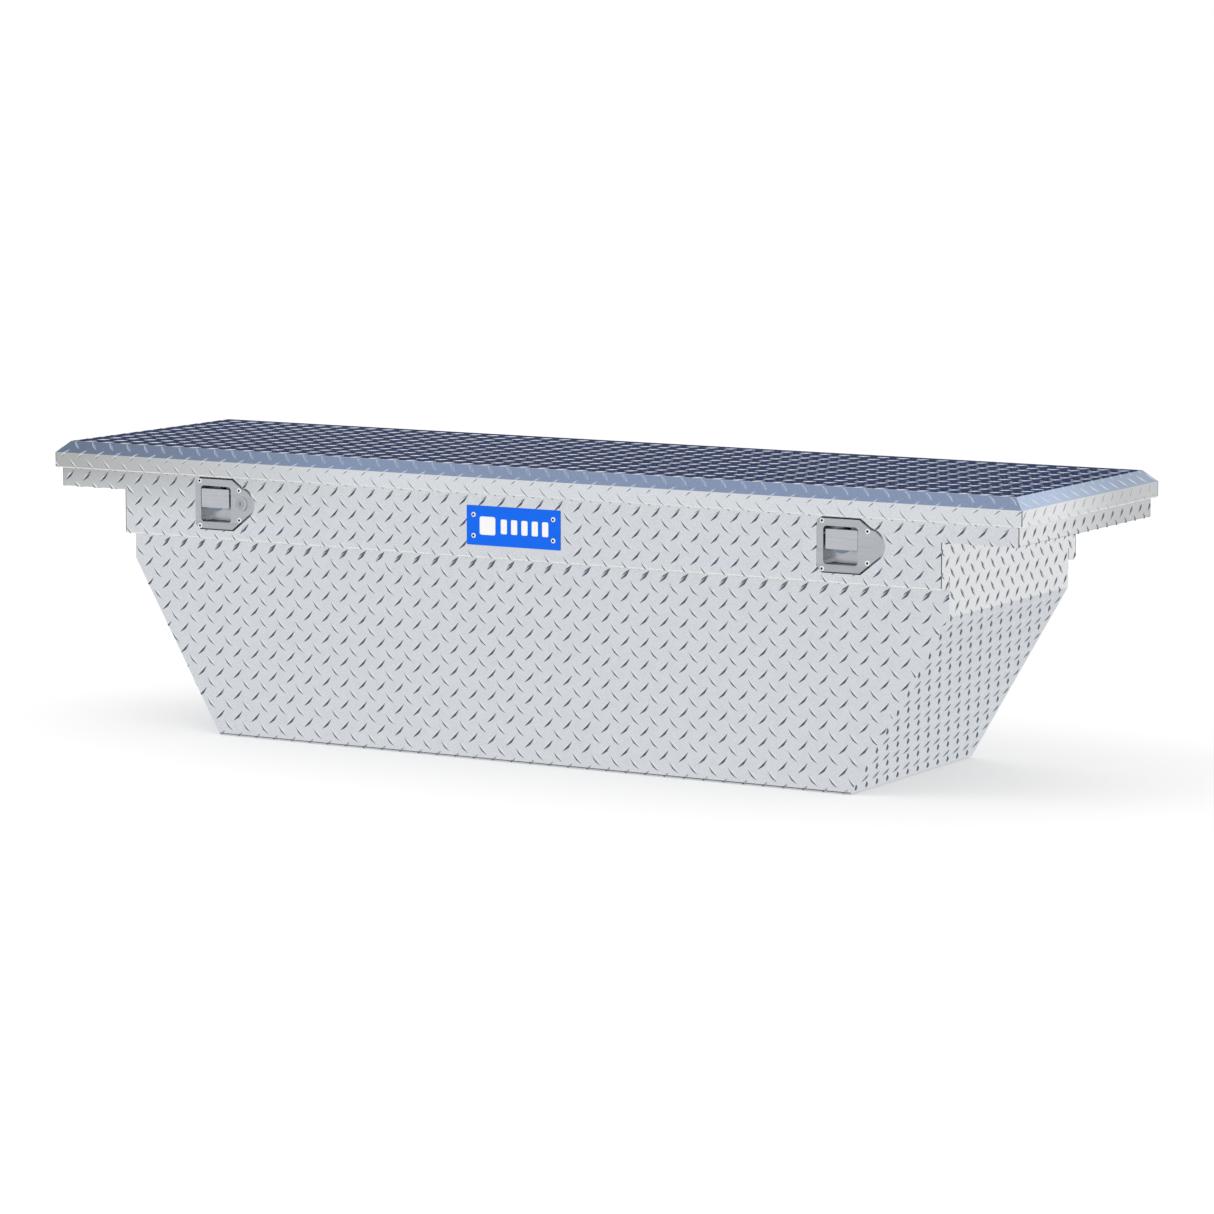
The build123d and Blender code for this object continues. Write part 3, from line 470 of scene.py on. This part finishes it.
painted = {"noise": (120, 3), "range": (0.3, 0.38), "tint": (90, 3), "grain": (500, 3),
           "depth": 0.2, "height": 0.00005}
cast = {"noise": (150, 4), "range": (0.35, 0.55), "tint": (200, 3), "grain": (900, 4),
        "depth": 0.5, "height": 0.0001}
soft = {"noise": (200, 4), "range": (0.75, 0.9), "tint": (150, 3), "grain": (1200, 4),
        "depth": 0.6, "height": 0.0002}

# painted shade: a darker, faintly beige area at the left end of the front, on the skirt and the wing
left_end_painted_shade = ((0.56, 0.56, 0.53), [("X", -0.3, -0.85), ("Y", -0.2, -0.225), ("Z", 0.36, 0.43)])
# and painted shade, greyer, toward the back of the right end, on the lid's end and the wing
far_end_painted_shade = ((0.62, 0.62, 0.62), [("X", wing_x - 0.03, wing_x - 0.02), ("Y", -0.12, 0.1),
                                ("Z", wing_z - 0.001, wing_z)])
# tread_plate carries the painted shade at the left, end_plate the one at the right end, lid_plate both
plate = shader("tread_plate", (0.93, 0.935, 0.94), 1.0, rolled, 0.14, [left_end_painted_shade])
end_plate = shader("end_plate", (0.93, 0.935, 0.94), 1.0, rolled, 0.14, [far_end_painted_shade])
lid_plate = shader("lid_plate", (0.93, 0.935, 0.94), 1.0, smooth, 0.1, [left_end_painted_shade, far_end_painted_shade])
lugs = shader("tread_lugs", (0.93, 0.935, 0.94), 1.0, polished, 0.04)
# the light edge of bends and hems: burnished, and partly a painted highlight line
edge = shader("burnished_edge_painted_highlight", (0.93, 0.92, 0.89), 0.1, cast, 0.06)
# painted shade: the dish's bottom wall is coloured dark
dish_low_z, flange_y = latch_middle_z - dish_half, latch_boxes["left"][0].y
pan_shade = ((0.02, 0.022, 0.026), [("Y", flange_y + 0.001, flange_y + 0.003),
                                    ("Z", dish_low_z + 0.001, dish_low_z + 0.0003)])
steel = shader("latch_steel", (0.64, 0.65, 0.67), 1.0, brushed, 0.08, [pan_shade])
lip_z = latch_middle_z - 0.006  # the flat of a paddle ends here and its finger lip starts
lip_shade = ((0.26, 0.3, 0.38), [("Z", lip_z, lip_z - 0.0005)])
paddle_steel = shader("paddle_steel", (0.7, 0.71, 0.73), 1.0, brushed, 0.06, [lip_shade])
blue = shader("nameplate_blue", (0.0, 0.135, 0.84), 0.0, painted, 0.06)
blue.node_tree.nodes["Principled BSDF"].inputs["Specular IOR Level"].default_value = 0.15
white = shader("nameplate_white", (0.9, 0.9, 0.9), 0.0, painted, 0.03)
ring = shader("rivet_ring", (0.95, 0.95, 0.95), 0.1, painted, 0.04)
# painted shade: the rivets' mandrel holes are coloured near black
rivet_pit_shade = shader("rivet_hole_painted_shade", (0.012, 0.012, 0.014), 0.3, cast, 0.3)
mill = shader("mill_aluminium", (0.88, 0.885, 0.89), 1.0, satin, 0.1)
zinc = shader("zinc_steel", (0.72, 0.73, 0.7), 1.0, cast, 0.15)
dark = shader("strut_black", (0.012, 0.012, 0.013), 0.0, painted, 0.2)
lock_face = shader("lock_face", (0.5, 0.52, 0.55), 1.0, polished, 0.05)
chrome = shader("chrome", (0.8, 0.81, 0.83), 1.0, polished, 0.03)
# painted shade: near-black beads behind the corner seams' gaps
seam_shade = shader("seam_painted_shade", (0.05, 0.052, 0.058), 0.0, soft, 0.2)
rubber = shader("seal_rubber", (0.018, 0.018, 0.018), 0.0, soft, 0.3)
foam = shader("lid_foam", (0.5, 0.46, 0.38), 0.0, soft, 0.25)
nylon = shader("bush_nylon", (0.62, 0.6, 0.54), 0.0, painted, 0.1)

finish_of = {
    "mill_aluminium": mill, "foam": foam, "rubber": rubber, "hinge_steel": zinc, "latch_steel": steel,
    "zinc_steel": zinc, "bush_nylon": nylon, "lock_chrome": lock_face, "strut_black": dark,
    "strut_rod": chrome, "rivet_aluminium": mill, "tread_plate": plate, "nameplate_blue": blue,
}
for part in frame["record"]["subparts"]:
    piece = frame["nodes"][part["node"]]
    piece.data.materials.clear()
    piece.data.materials.append(finish_of[part["material_slot"]])
for side in ("left", "right"):
    frame["nodes"][f"paddle_{side}"].data.materials[0] = paddle_steel

# ---------------------------------------------------------------- tub
tub = Shape()
wall_path = [
    (tub_y, tub_high.z), (tub_y, bend_rise), (tub_y, lug_size[1]), (-tub_y, lug_size[1]),
    (-tub_y, bend_rise), (-tub_y, tub_high.z),
]
tub_fold = fold(wall_path)


def tub_half(place):
    """Half length of the tub at a height; the laps above the rails stay inside the end panels."""
    if place.y > rail_z:
        return tub_x - sheet
    return bottom_x + end_run * min(place.y / bend_rise, 1)


lap_start = len(tub_fold) - 1
tub_fold.insert(lap_start, (Vector((-tub_y, rail_z)), Vector((-1, 0)), tub_fold[-1][2] - lap))
tub_fold.insert(1, (Vector((tub_y, rail_z)), Vector((1, 0)), lap))
sheet_of(tub, tub_fold, tub_half, across_x)
back_top = tub_high.z - tub_fold[-1][2]     # upper edge of the back wall in the flat pattern
tub_map = mapping(tub_fold, across_x, back_top)
front_phase = (-0.7929, 0.4195)     # centre of one "/" lug on the front: X and Z
slant = end_run / bend_rise
tub_sides = [(1, 0, tub_x), (-1, 0, tub_x)]
floor_sides = [(1, 0, bottom_x), (-1, 0, bottom_x)]
front_sides = [*tub_sides, (1, -slant, bottom_x), (-1, -slant, bottom_x)]
lay_lugs(tub, (-tub_x, tub_x), (0.0, tub_high.z), front_phase, [*front_sides, (0, 1, tub_high.z)], tub_map)
floor_end = -2 * tub_y      # where the floor meets the back wall in the flat pattern
lay_lugs(tub, (-bottom_x, bottom_x), (floor_end, 0.0), front_phase, floor_sides, tub_map,
         wanted=lambda center: floor_end < center[1] < 0)
back_limit = bottom_x + slant * floor_end
back_sides = [*tub_sides, (1, slant, back_limit), (-1, slant, back_limit), (0, -1, -back_top)]
lay_lugs(tub, (-tub_x, tub_x), (back_top, floor_end), front_phase, back_sides, tub_map,
         wanted=lambda center: center[1] <= floor_end)
tub.build("tub_shell", [plate, lugs, edge], "box", ["tub"])

# ---------------------------------------------------------------- rails
dish_cut = (0.0108, 0.0742)     # ends of the cut-out for a latch's dish, from the left edge of its flange
dish_cut_half = 0.0317          # half the height of that cut-out
latch_holes = [
    (low.x + dish_cut[0], low.x + dish_cut[1], latch_middle_z - dish_cut_half, latch_middle_z + dish_cut_half)
    for low, _ in latch_boxes.values()
]


def rail_piece(facing, name, node, holes, bare=()):
    """A channel rail: rim flange, face, underside and the lap on the tub wall. bare areas have no lugs."""
    shape = Shape()
    path = [(-tub_y, rail_z + lap), (-tub_y, rail_z), (-rail_y, rail_z), (-rail_y, wing_z),
            (-rail_y, rim_z), (rim_flange - rail_y, rim_z)]
    stations = fold(path)
    for _, _, low, high in holes:
        for z in (low, high):
            length = z - rail_z + stations[-1][2] - rim_flange - (rim_z - rail_z)
            at = next(i for i, mark in enumerate(stations) if mark[2] > length)
            place, normal = on_fold(stations, length)
            if abs(place.y - stations[at - 1][0].y) > bend_ease:
                stations.insert(at, (place, normal, length))

    def put(u, place, normal, height):
        x, y, z = across_x(u, place, normal, height)
        return (x, -facing * y, z)

    def beyond(middle):
        x, y, z = middle
        notch = abs(x) > tub_x and z < wing_z - bend_ease
        opening = any(a < x < b and low < z < high and abs(y) > rail_y - sheet for a, b, low, high in holes)
        return notch or opening

    cuts = sorted([-tub_x, tub_x, *[u for hole_at in holes for u in hole_at[:2]]])
    # the lower bend takes the edge material: burnished, with a painted highlight line
    sheet_of(shape, stations, lambda place: wing_x, put, cuts=cuts, skip=beyond,
             worn_and_highlit=lambda m: m[2] < rail_z + bend_radius and abs(m[1]) > rail_y - bend_radius)
    zero = rim_z + rim_flange - stations[-1][2]
    face_map = mapping(stations, put, zero)
    ends = [(1, 0, wing_x), (-1, 0, wing_x)]
    corners = ends + [(0, 1, rim_z + rim_flange)]
    lay_lugs(shape, (-wing_x, wing_x), (wing_z, rim_z + rim_flange), front_phase, corners, face_map,
             holes=[*holes, *bare, (-wing_x - lap, -tub_x, rail_z - lap, wing_z),
                    (tub_x, wing_x + lap, rail_z - lap, wing_z)],
             wanted=lambda center: center[1] >= wing_z)
    lay_lugs(shape, (-tub_x, tub_x), (rail_z, wing_z), front_phase,
             [(1, 0, tub_x), (-1, 0, tub_x), (0, -1, -rail_z - bend_radius)], face_map,
             holes=[*holes, *bare], wanted=lambda center: center[1] < wing_z)
    inner_end = rail_z - rail_y + tub_y
    lay_lugs(shape, (-tub_x, tub_x), (inner_end, rail_z), front_phase,
             [(1, 0, tub_x), (-1, 0, tub_x), (0, -1, -inner_end - bend_radius),
              (0, 1, rail_z - bend_radius)], face_map)
    shape.build(name, [plate, lugs, edge], "box", [node])


plate_low, plate_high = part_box("nameplate")
plate_rect = (plate_low.x, plate_high.x, plate_low.z, plate_high.z)
rail_piece(-1, "rail_front", "front_rail", latch_holes, [plate_rect])
rail_piece(1, "rail_back", "back_rail", [])

# ---------------------------------------------------------------- end panels
foot_x = bottom_x + sheet * slant
end_phase = (0.0087, 0.0)   # centre of one "/" lug: Y and length from the inner edge of the rim flange


def end_piece(side, sign):
    """An end panel: rim flange, wing with its underside, upright part, leaning part and foot."""
    shape = Shape()
    path = [(wing_x - rim_flange, rim_z), (wing_x, rim_z), (wing_x, wing_z), (tub_x, wing_z),
            (tub_x, rail_z + sheet), (tub_x, bend_rise), (foot_x, sheet), (foot_x - lap, sheet)]
    stations = fold(path)
    wide = rail_y - sheet       # half width between the rails' faces
    narrow = tub_y - sheet      # half width between the tub's walls
    flange_end = rail_y - rim_flange

    def put_end(u, place, normal, height):
        x, y, z = across_y(u, place, normal, height)
        return (sign * x, y, z)

    def end_skip(middle):
        x, y, z = middle
        low = abs(y) > narrow and z < rail_z + sheet
        rim = abs(y) > flange_end and z > rim_z - 1.5 * sheet and abs(x) < wing_x - bend_radius
        return low or rim

    sheet_of(shape, stations, lambda place: wide, put_end, cuts=(-flange_end, -narrow, narrow, flange_end),
             skip=end_skip)
    total = stations[-1][2]
    drop = rim_flange + (rim_z - wing_z) + (wing_x - tub_x) + (wing_z - rail_z - sheet)
    end_map = mapping(stations, put_end, 0.0)
    lay_lugs(shape, (-wide, wide), (0.0, drop), end_phase,
             [(1, 0, wide), (-1, 0, wide), (0, -1, 0.0)], end_map,
             holes=[(-wide - lap, -flange_end, -lap, rim_flange - bend_radius),
                    (flange_end, wide + lap, -lap, rim_flange - bend_radius)],
             wanted=lambda center: center[1] < drop)
    lay_lugs(shape, (-narrow, narrow), (drop, total - lap), end_phase,
             [(1, 0, narrow), (-1, 0, narrow), (0, 1, total - lap)], end_map,
             wanted=lambda center: center[1] >= drop)
    shape.build(f"end_{side}", [end_plate, lugs, edge], "box", [f"end_panel_{side}"])


end_piece("left", -1)
end_piece("right", 1)

# ---------------------------------------------------------------- lid
lid = Shape()
crest = lid_lug_size[1]     # the lugs' crests reach the lid's outline, so the sheet lies this deep
lid_sheet = 0.0006          # visible thickness, inside the lid's folded skin
hem_round = 0.0016          # radius of the rolled lower edge
top_inset = bevel_run + 0.012   # the flaps' sheets end on the top, this far from the lid's sides


def lid_path(half, end_inset):
    """Skirt, bevel and the start of the top, from the low edge up, for the side at -half."""
    low_bend = crest * math.tan(math.atan2(bevel_run, bevel_rise) / 2)
    top_bend = crest * math.tan((math.pi / 2 - math.atan2(bevel_run, bevel_rise)) / 2)
    return [(crest - half, skirt_z + hem_round), (crest - half, bevel_z - low_bend),
            (bevel_run + top_bend - half, top_z - crest), (end_inset - half, top_z - crest)]


def hem_outline(half, steps=6):
    """The rolled lower edge of the side at -half, with the strip that it turns up inside."""
    center = crest - half + hem_round
    angles = [i * math.pi / steps for i in range(steps + 1)]
    outline = [(center - hem_round * math.cos(a), skirt_z + hem_round - hem_round * math.sin(a))
               for a in angles]
    outline.append((center + hem_round, skirt_z + hem_height))
    outline.append((sheet - half, skirt_z + hem_height))
    outline.append((sheet - half, skirt_z + hem_round))
    return outline


def lid_side(half, length, put, facing):
    """Skirt, bevel and hem of one side; the back has no hem, because the hinge is there."""
    def mitre(place):
        return length - (place.x + half) - seam_gap

    def put_side(u, place, normal, height):
        x, y, z = put(u, place, normal, height)
        return (x, -facing * y, z) if put is across_x else (-facing * x, y, z)

    sheet_of(lid, fold(lid_path(half, top_inset)), mitre, put_side, lid_sheet)
    if not (put is across_x and facing == 1):
        # the hem takes the edge material: a rolled edge with a painted highlight line
        bar_of(lid, hem_outline(half), mitre, put_side, EDGE)


for facing in (-1, 1):
    lid_side(lid_y, lid_x, across_x, facing)
for facing in (-1, 1):
    lid_side(lid_x, lid_y, across_y, facing)
top_half_x, top_half_y = lid_x - top_inset, lid_y - top_inset
flat = [(Vector((-top_half_y, top_z - crest)), Vector((0, 1)), 0.0),
        (Vector((top_half_y, top_z - crest)), Vector((0, 1)), 2 * top_half_y)]
sheet_of(lid, flat, lambda place: top_half_x, across_x, lid_sheet)

bevel_slant = math.hypot(bevel_run, bevel_rise)
flap = bevel_slant + (bevel_z - skirt_z)
edge_x, edge_y = lid_x - bevel_run, lid_y - bevel_run
top_x, top_y = edge_x - 0.004, edge_y - 0.004   # a lug centred inside these lies on the top
lid_phase = (-0.8675, -edge_y - bevel_slant + 0.0007)   # centre of one "/" lug: X and length from the middle


def lid_map(half, put):
    """The lid's flat pattern over both flaps; zero is the middle of the top."""
    one = lid_path(half, half)
    both = fold(one[:-1] + [(-x, z) for x, z in reversed(one[:-1])])
    return mapping(both, put, -both[-1][2] / 2)


over_front = lid_map(lid_y, across_x)
over_ends = lid_map(lid_x, across_y)


def over_end(u, s, height):
    """The same for the flaps at the ends, where the pattern's first axis runs over the folds."""
    return over_ends(s, u, height)


corner_slant = bevel_run / bevel_slant
limit_x = edge_x - corner_slant * edge_y - seam_gap
limit_y = edge_y - corner_slant * edge_x - seam_gap
for sign in (-1, 1):
    lay_lugs(lid, (-lid_x, lid_x), (-edge_y - flap, edge_y + flap), lid_phase,
             [(1, -sign * corner_slant, limit_x), (-1, -sign * corner_slant, limit_x),
              (1, 0, lid_x - crest), (-1, 0, lid_x - crest), (0, sign, edge_y + flap - hem_round)],
             over_front, wanted=lambda c: sign * c[1] > top_y, size=lid_lug_size)
for sign in (-1, 1):
    lay_lugs(lid, (-edge_x - flap, edge_x + flap), (-lid_y, lid_y), lid_phase,
             [(-sign * corner_slant, 1, limit_y), (-sign * corner_slant, -1, limit_y),
              (0, 1, lid_y - crest), (0, -1, lid_y - crest), (sign, 0, edge_x + flap - hem_round)],
             over_end, wanted=lambda c: sign * c[0] > top_x, size=lid_lug_size)
# a lug that could reach past the edge of the top follows the bevel there
clear = lug_length / 2 * math.sqrt(0.5)
lay_lugs(lid, (-edge_x, edge_x), (-edge_y, edge_y), lid_phase, [], over_front,
         wanted=lambda c: abs(c[0]) <= edge_x - clear and abs(c[1]) <= top_y, size=lid_top_lug_size)
lay_lugs(lid, (-edge_x, edge_x), (-edge_y, edge_y), lid_phase, [], over_end,
         wanted=lambda c: edge_x - clear < abs(c[0]) <= top_x and abs(c[1]) <= edge_y - clear,
         size=lid_top_lug_size)
lid.build("lid_shell", [lid_plate, lugs, edge], "lid", ["lid_skin"])

# ---------------------------------------------------------------- corner seams
bead_radius = 0.0007
bead_sink = 0.0004          # bead centre behind both faces of a corner
bead_sides = 10


def corner_beads(name, body, corners):
    """Near-black beads behind the open corner seams, painted shade in their gaps; a corner is (x, y, low,
    high).
    """
    beads = Shape()
    for x, y, low, high in corners:
        center_x = x - math.copysign(bead_sink, x)
        center_y = y - math.copysign(bead_sink, y)
        angles = [2 * math.pi * i / bead_sides for i in range(bead_sides)]
        round_line = [(center_x + bead_radius * math.cos(a), center_y + bead_radius * math.sin(a))
                      for a in angles]
        beads.prism([(*spot, low) for spot in round_line], [(*spot, high) for spot in round_line])
    beads.build(name, [seam_shade], body)


body_corners = []
lid_corners = []
for side_x in (-1, 1):
    for side_y in (-1, 1):
        body_corners.append((side_x * tub_x, side_y * rail_y, rail_z + bend_radius, wing_z))
        body_corners.append((side_x * wing_x, side_y * rail_y, wing_z, rim_z - bend_radius))
        lid_corners.append((side_x * (lid_x - crest), side_y * (lid_y - crest), skirt_z + hem_round, bevel_z))
corner_beads("seams_body", "box", body_corners)
corner_beads("seams_lid", "lid", lid_corners)


# ---------------------------------------------------------------- rivets
rivet_radius = 0.004
rivet_rise = 0.0012
rivet_turns = 24
# (share of the radius, share of the rise), from the foot over the crown and down the mandrel hole
rivet_crown = ((1.0, -0.3), (1.0, 0.25), (0.93, 0.6), (0.78, 0.9), (0.66, 1.0), (0.56, 0.96), (0.52, 0.85))
rivet_pit = ((0.52, 0.85), (0.5, 0.2), (0.42, 0.05), (0.25, 0.02))
# centres on a latch, from the left edge and the middle of its flange
latch_rivets = ((0.011, 0.037), (0.0885, 0.0245), (0.0885, -0.024), (0.011, -0.0365))


def revolved(shape, x, y, z, profile, slot):
    """A profile turned about an axis along Y and closed where it starts or ends, by its slot."""
    points = []
    for share, height in profile:
        for i in range(rivet_turns):
            angle = 2 * math.pi * i / rivet_turns
            points.append((x + rivet_radius * share * math.cos(angle), y - rivet_rise * height,
                           z + rivet_radius * share * math.sin(angle)))
    faces = []
    for row in range(len(profile) - 1):
        for i in range(rivet_turns):
            after = (i + 1) % rivet_turns
            faces.append([row * rivet_turns + i, row * rivet_turns + after,
                          (row + 1) * rivet_turns + after, (row + 1) * rivet_turns + i])
    if slot:
        faces.append([(len(profile) - 1) * rivet_turns + i for i in range(rivet_turns)])
    else:
        faces.append([rivet_turns - 1 - i for i in range(rivet_turns)])
    shape.add(points, faces, slot)


def rivet_set(name, centers, node):
    """Blind rivets with a bright head and a mandrel hole coloured near black as painted shade, facing the
    front.
    """
    shape = Shape()
    for center in centers:
        revolved(shape, *center, rivet_crown, 0)
        revolved(shape, *center, rivet_pit, 1)
    shape.build(name, [ring, rivet_pit_shade], "box", [node])


for side, (low, _) in latch_boxes.items():
    node = f"latch_rivets_{side}"
    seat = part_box(node)[0].y + rivet_rise
    rivet_set(f"rivets_{side}_latch", [(low.x + u, seat, latch_middle_z + v) for u, v in latch_rivets], node)
pins_low, pins_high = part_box("nameplate_rivets")
rivet_set("rivets_nameplate",
          [(x, pins_low.y + rivet_rise, z) for x in (pins_low.x + rivet_radius, pins_high.x - rivet_radius)
           for z in (pins_low.z + rivet_radius, pins_high.z - rivet_radius)], "nameplate_rivets")

# ---------------------------------------------------------------- nameplate
sign_face = plate_low.y
sign_middle = (plate_low + plate_high) / 2
sign_length = plate_high.x - plate_low.x
sign_height = plate_high.z - plate_low.z
mark_rise = 0.0002          # how far the marks stand out
badge = 0.46 * sign_height
badge_place = -0.275 * sign_length
bar_count = 5
bar_width = 0.065 * sign_length
bar_height = 0.8 * badge
bar_pitch = 0.11 * sign_length
first_bar = -0.1 * sign_length
marks = Shape()


def rounded_outline(width, height, radius, steps=6):
    """A rounded rectangle around zero."""
    outline = []
    for quarter, (sx, sz) in enumerate(((1, 1), (-1, 1), (-1, -1), (1, -1))):
        for i in range(steps + 1):
            angle = (quarter + i / steps) * math.pi / 2
            outline.append((sx * (width / 2 - radius) + radius * math.cos(angle),
                            sz * (height / 2 - radius) + radius * math.sin(angle)))
    return outline


def raised_mark(width, height, radius, center_x):
    """A thin raised white rounded rectangle on the nameplate."""
    outline = rounded_outline(width, height, radius)
    back, face = [[(center_x + x, sign_face + depth, sign_middle.z + z) for x, z in outline]
                  for depth in (mark_rise, -mark_rise)]
    marks.prism(back, face)


raised_mark(badge, badge, badge / 8, sign_middle.x + badge_place)
for i in range(bar_count):
    raised_mark(bar_width, bar_height, bar_width / 5, sign_middle.x + first_bar + i * bar_pitch)
marks.build("nameplate_marks", [white], "box")

# ---------------------------------------------------------------- stage
floor_size = 900.0
floor_gap = 0.0005          # the floor lies this far under the box
bpy.ops.mesh.primitive_plane_add(size=floor_size, location=(0, 0, -floor_gap))
floor = bpy.context.object
floor.name = "floor"
floor.visible_glossy = False
paper = bpy.data.materials.new("floor_paper")
paper.use_nodes = True
paper_surface = paper.node_tree.nodes["Principled BSDF"]
paper_surface.inputs["Base Color"].default_value = (0.62, 0.62, 0.62, 1)
paper_surface.inputs["Roughness"].default_value = 1.0
paper_surface.inputs["Specular IOR Level"].default_value = 0.0
paper_surface.inputs["Emission Color"].default_value = (1, 1, 1, 1)
paper_surface.inputs["Emission Strength"].default_value = 0.4
floor.data.materials.append(paper)

# The studio is white to the eye. Metal reflects a sky of soft colours instead, laid one over another.
world = bpy.data.worlds.new("studio")
bpy.context.scene.world = world
world.use_nodes = True
sky_tree = world.node_tree
sky_tree.nodes.clear()
direction = sky_tree.nodes.new("ShaderNodeTexCoord").outputs["Generated"]
compass = sky_tree.nodes.new("ShaderNodeSeparateXYZ")
sky_tree.links.new(direction, compass.inputs["Vector"])
east, north, up = compass.outputs["X"], compass.outputs["Y"], compass.outputs["Z"]


def gate(value, low, high):
    """0 up to low and 1 from high on, smoothly; low may be the larger of the two."""
    return ramp(sky_tree, value, low, high, smooth_step=True)


def layer(under, color, *gates):
    """Lay a colour over the sky where all the gates are open."""
    return mixed(sky_tree, product(sky_tree, gates), under, color)


def toward_way(x, y, z):
    """How closely a direction agrees with the given one."""
    dot = sky_tree.nodes.new("ShaderNodeVectorMath")
    dot.operation = "DOT_PRODUCT"
    dot.inputs[1].default_value = Vector((x, y, z)).normalized()
    sky_tree.links.new(direction, dot.inputs[0])
    return dot.outputs["Value"]


base, bright = (0.77, 0.79, 0.82), (0.95, 0.97, 1.0)
slate, navy, shade = (0.1, 0.125, 0.17), (0.03, 0.045, 0.115), (0.13, 0.15, 0.19)
steel_blue, pale_blue = (0.26, 0.33, 0.49), (0.52, 0.62, 0.8)
pale, dim = (0.87, 0.88, 0.885), (0.16, 0.19, 0.24)
sky_color = layer(base, bright, gate(up, 0.1, 0.5), gate(north, -0.3, 0.2))
sky_color = layer(sky_color, steel_blue, gate(toward_way(-0.5, -0.1, 0.86), 0.8, 0.93))
# behind the box: navy for its top, paler patches for its bevels and right end
low_back = product(sky_tree, [gate(up, -0.42, -0.3), gate(up, 0.5, 0.4)])
sky_color = layer(sky_color, navy, low_back, gate(north, 0.1, 0.45), gate(east, 0.42, 0.18))
sky_color = layer(sky_color, pale_blue, gate(toward_way(0.13, 0.856, 0.5), 0.86, 0.95))
sky_color = layer(sky_color, pale, gate(toward_way(0.5, 0.856, -0.13), 0.88, 0.97))
# dark patches to the right and above, for the sides of the lugs
sky_color = layer(sky_color, slate, gate(up, -0.46, -0.54), gate(east, 0.35, 0.55), gate(north, 0.1, 0.3))
sky_color = layer(sky_color, dim, gate(toward_way(0.847, 0.355, -0.394), 0.95, 0.985))
sky_color = layer(sky_color, shade, gate(toward_way(0.4, -0.45, 0.8), 0.9, 0.97))
sky_color = layer(sky_color, shade, gate(toward_way(0.853, 0.431, 0.295), 0.93, 0.98))
# dark patches below and to the left, for their lower sides
under_back = product(sky_tree, [gate(up, -0.62, -0.76), gate(north, 0.0, 0.3)])
sky_color = layer(sky_color, slate, under_back)
sky_color = layer(sky_color, shade, gate(toward_way(-0.85, -0.25, -0.45), 0.84, 0.95))
slope_down = combine(sky_tree, "SUBTRACT", combine(sky_tree, "MULTIPLY", east, 0.5), up)
sky_color = layer(sky_color, slate, gate(slope_down, 0.1, 0.28), gate(east, 0.6, 0.3), gate(north, 0.3, 0.0))
sky = sky_tree.nodes.new("ShaderNodeBackground")
sky_tree.links.new(sky_color, sky.inputs["Color"])
backdrop = sky_tree.nodes.new("ShaderNodeBackground")
backdrop.inputs["Color"].default_value = (1, 1, 1, 1)
rays = sky_tree.nodes.new("ShaderNodeLightPath")
choose = sky_tree.nodes.new("ShaderNodeMixShader")
sky_tree.links.new(rays.outputs["Is Glossy Ray"], choose.inputs[0])
sky_tree.links.new(backdrop.outputs["Background"], choose.inputs[1])
sky_tree.links.new(sky.outputs["Background"], choose.inputs[2])
output = sky_tree.nodes.new("ShaderNodeOutputWorld")
sky_tree.links.new(choose.outputs["Shader"], output.inputs["Surface"])


def softbox(name, place, target, size, power):
    """A square area light that points at a target."""
    light = bpy.data.lights.new(name, "AREA")
    light.shape = "SQUARE"
    light.size = size
    light.energy = power
    lamp = bpy.data.objects.new(name, light)
    bpy.context.scene.collection.objects.link(lamp)
    lamp.location = place
    lamp.rotation_euler = (Vector(target) - Vector(place)).to_track_quat("-Z", "Y").to_euler()
    return lamp


box_middle = (cad_low + cad_high) / 2
softbox("key", (-1.5, -2.5, 5.0), box_middle, 3.0, 40).visible_glossy = False

# ---------------------------------------------------------------- camera
view_azimuth = math.radians(30.28)
view_elevation = math.radians(7.47)
view_distance = 7.747
view_shift = Vector((0.031, 0.0, -0.0085))      # aim beside the middle of the box
camera_data = bpy.data.cameras.new("camera")
camera_data.sensor_width = 36.0
camera_data.lens = 142.17
camera = bpy.data.objects.new("camera", camera_data)
bpy.context.scene.collection.objects.link(camera)
toward = Vector((
    math.sin(view_azimuth) * math.cos(view_elevation),
    -math.cos(view_azimuth) * math.cos(view_elevation),
    math.sin(view_elevation),
))
camera.location = box_middle + view_shift + toward * view_distance
camera.rotation_euler = toward.to_track_quat("Z", "Y").to_euler()
bpy.context.scene.camera = camera
bpy.context.scene.view_settings.view_transform = "Standard"
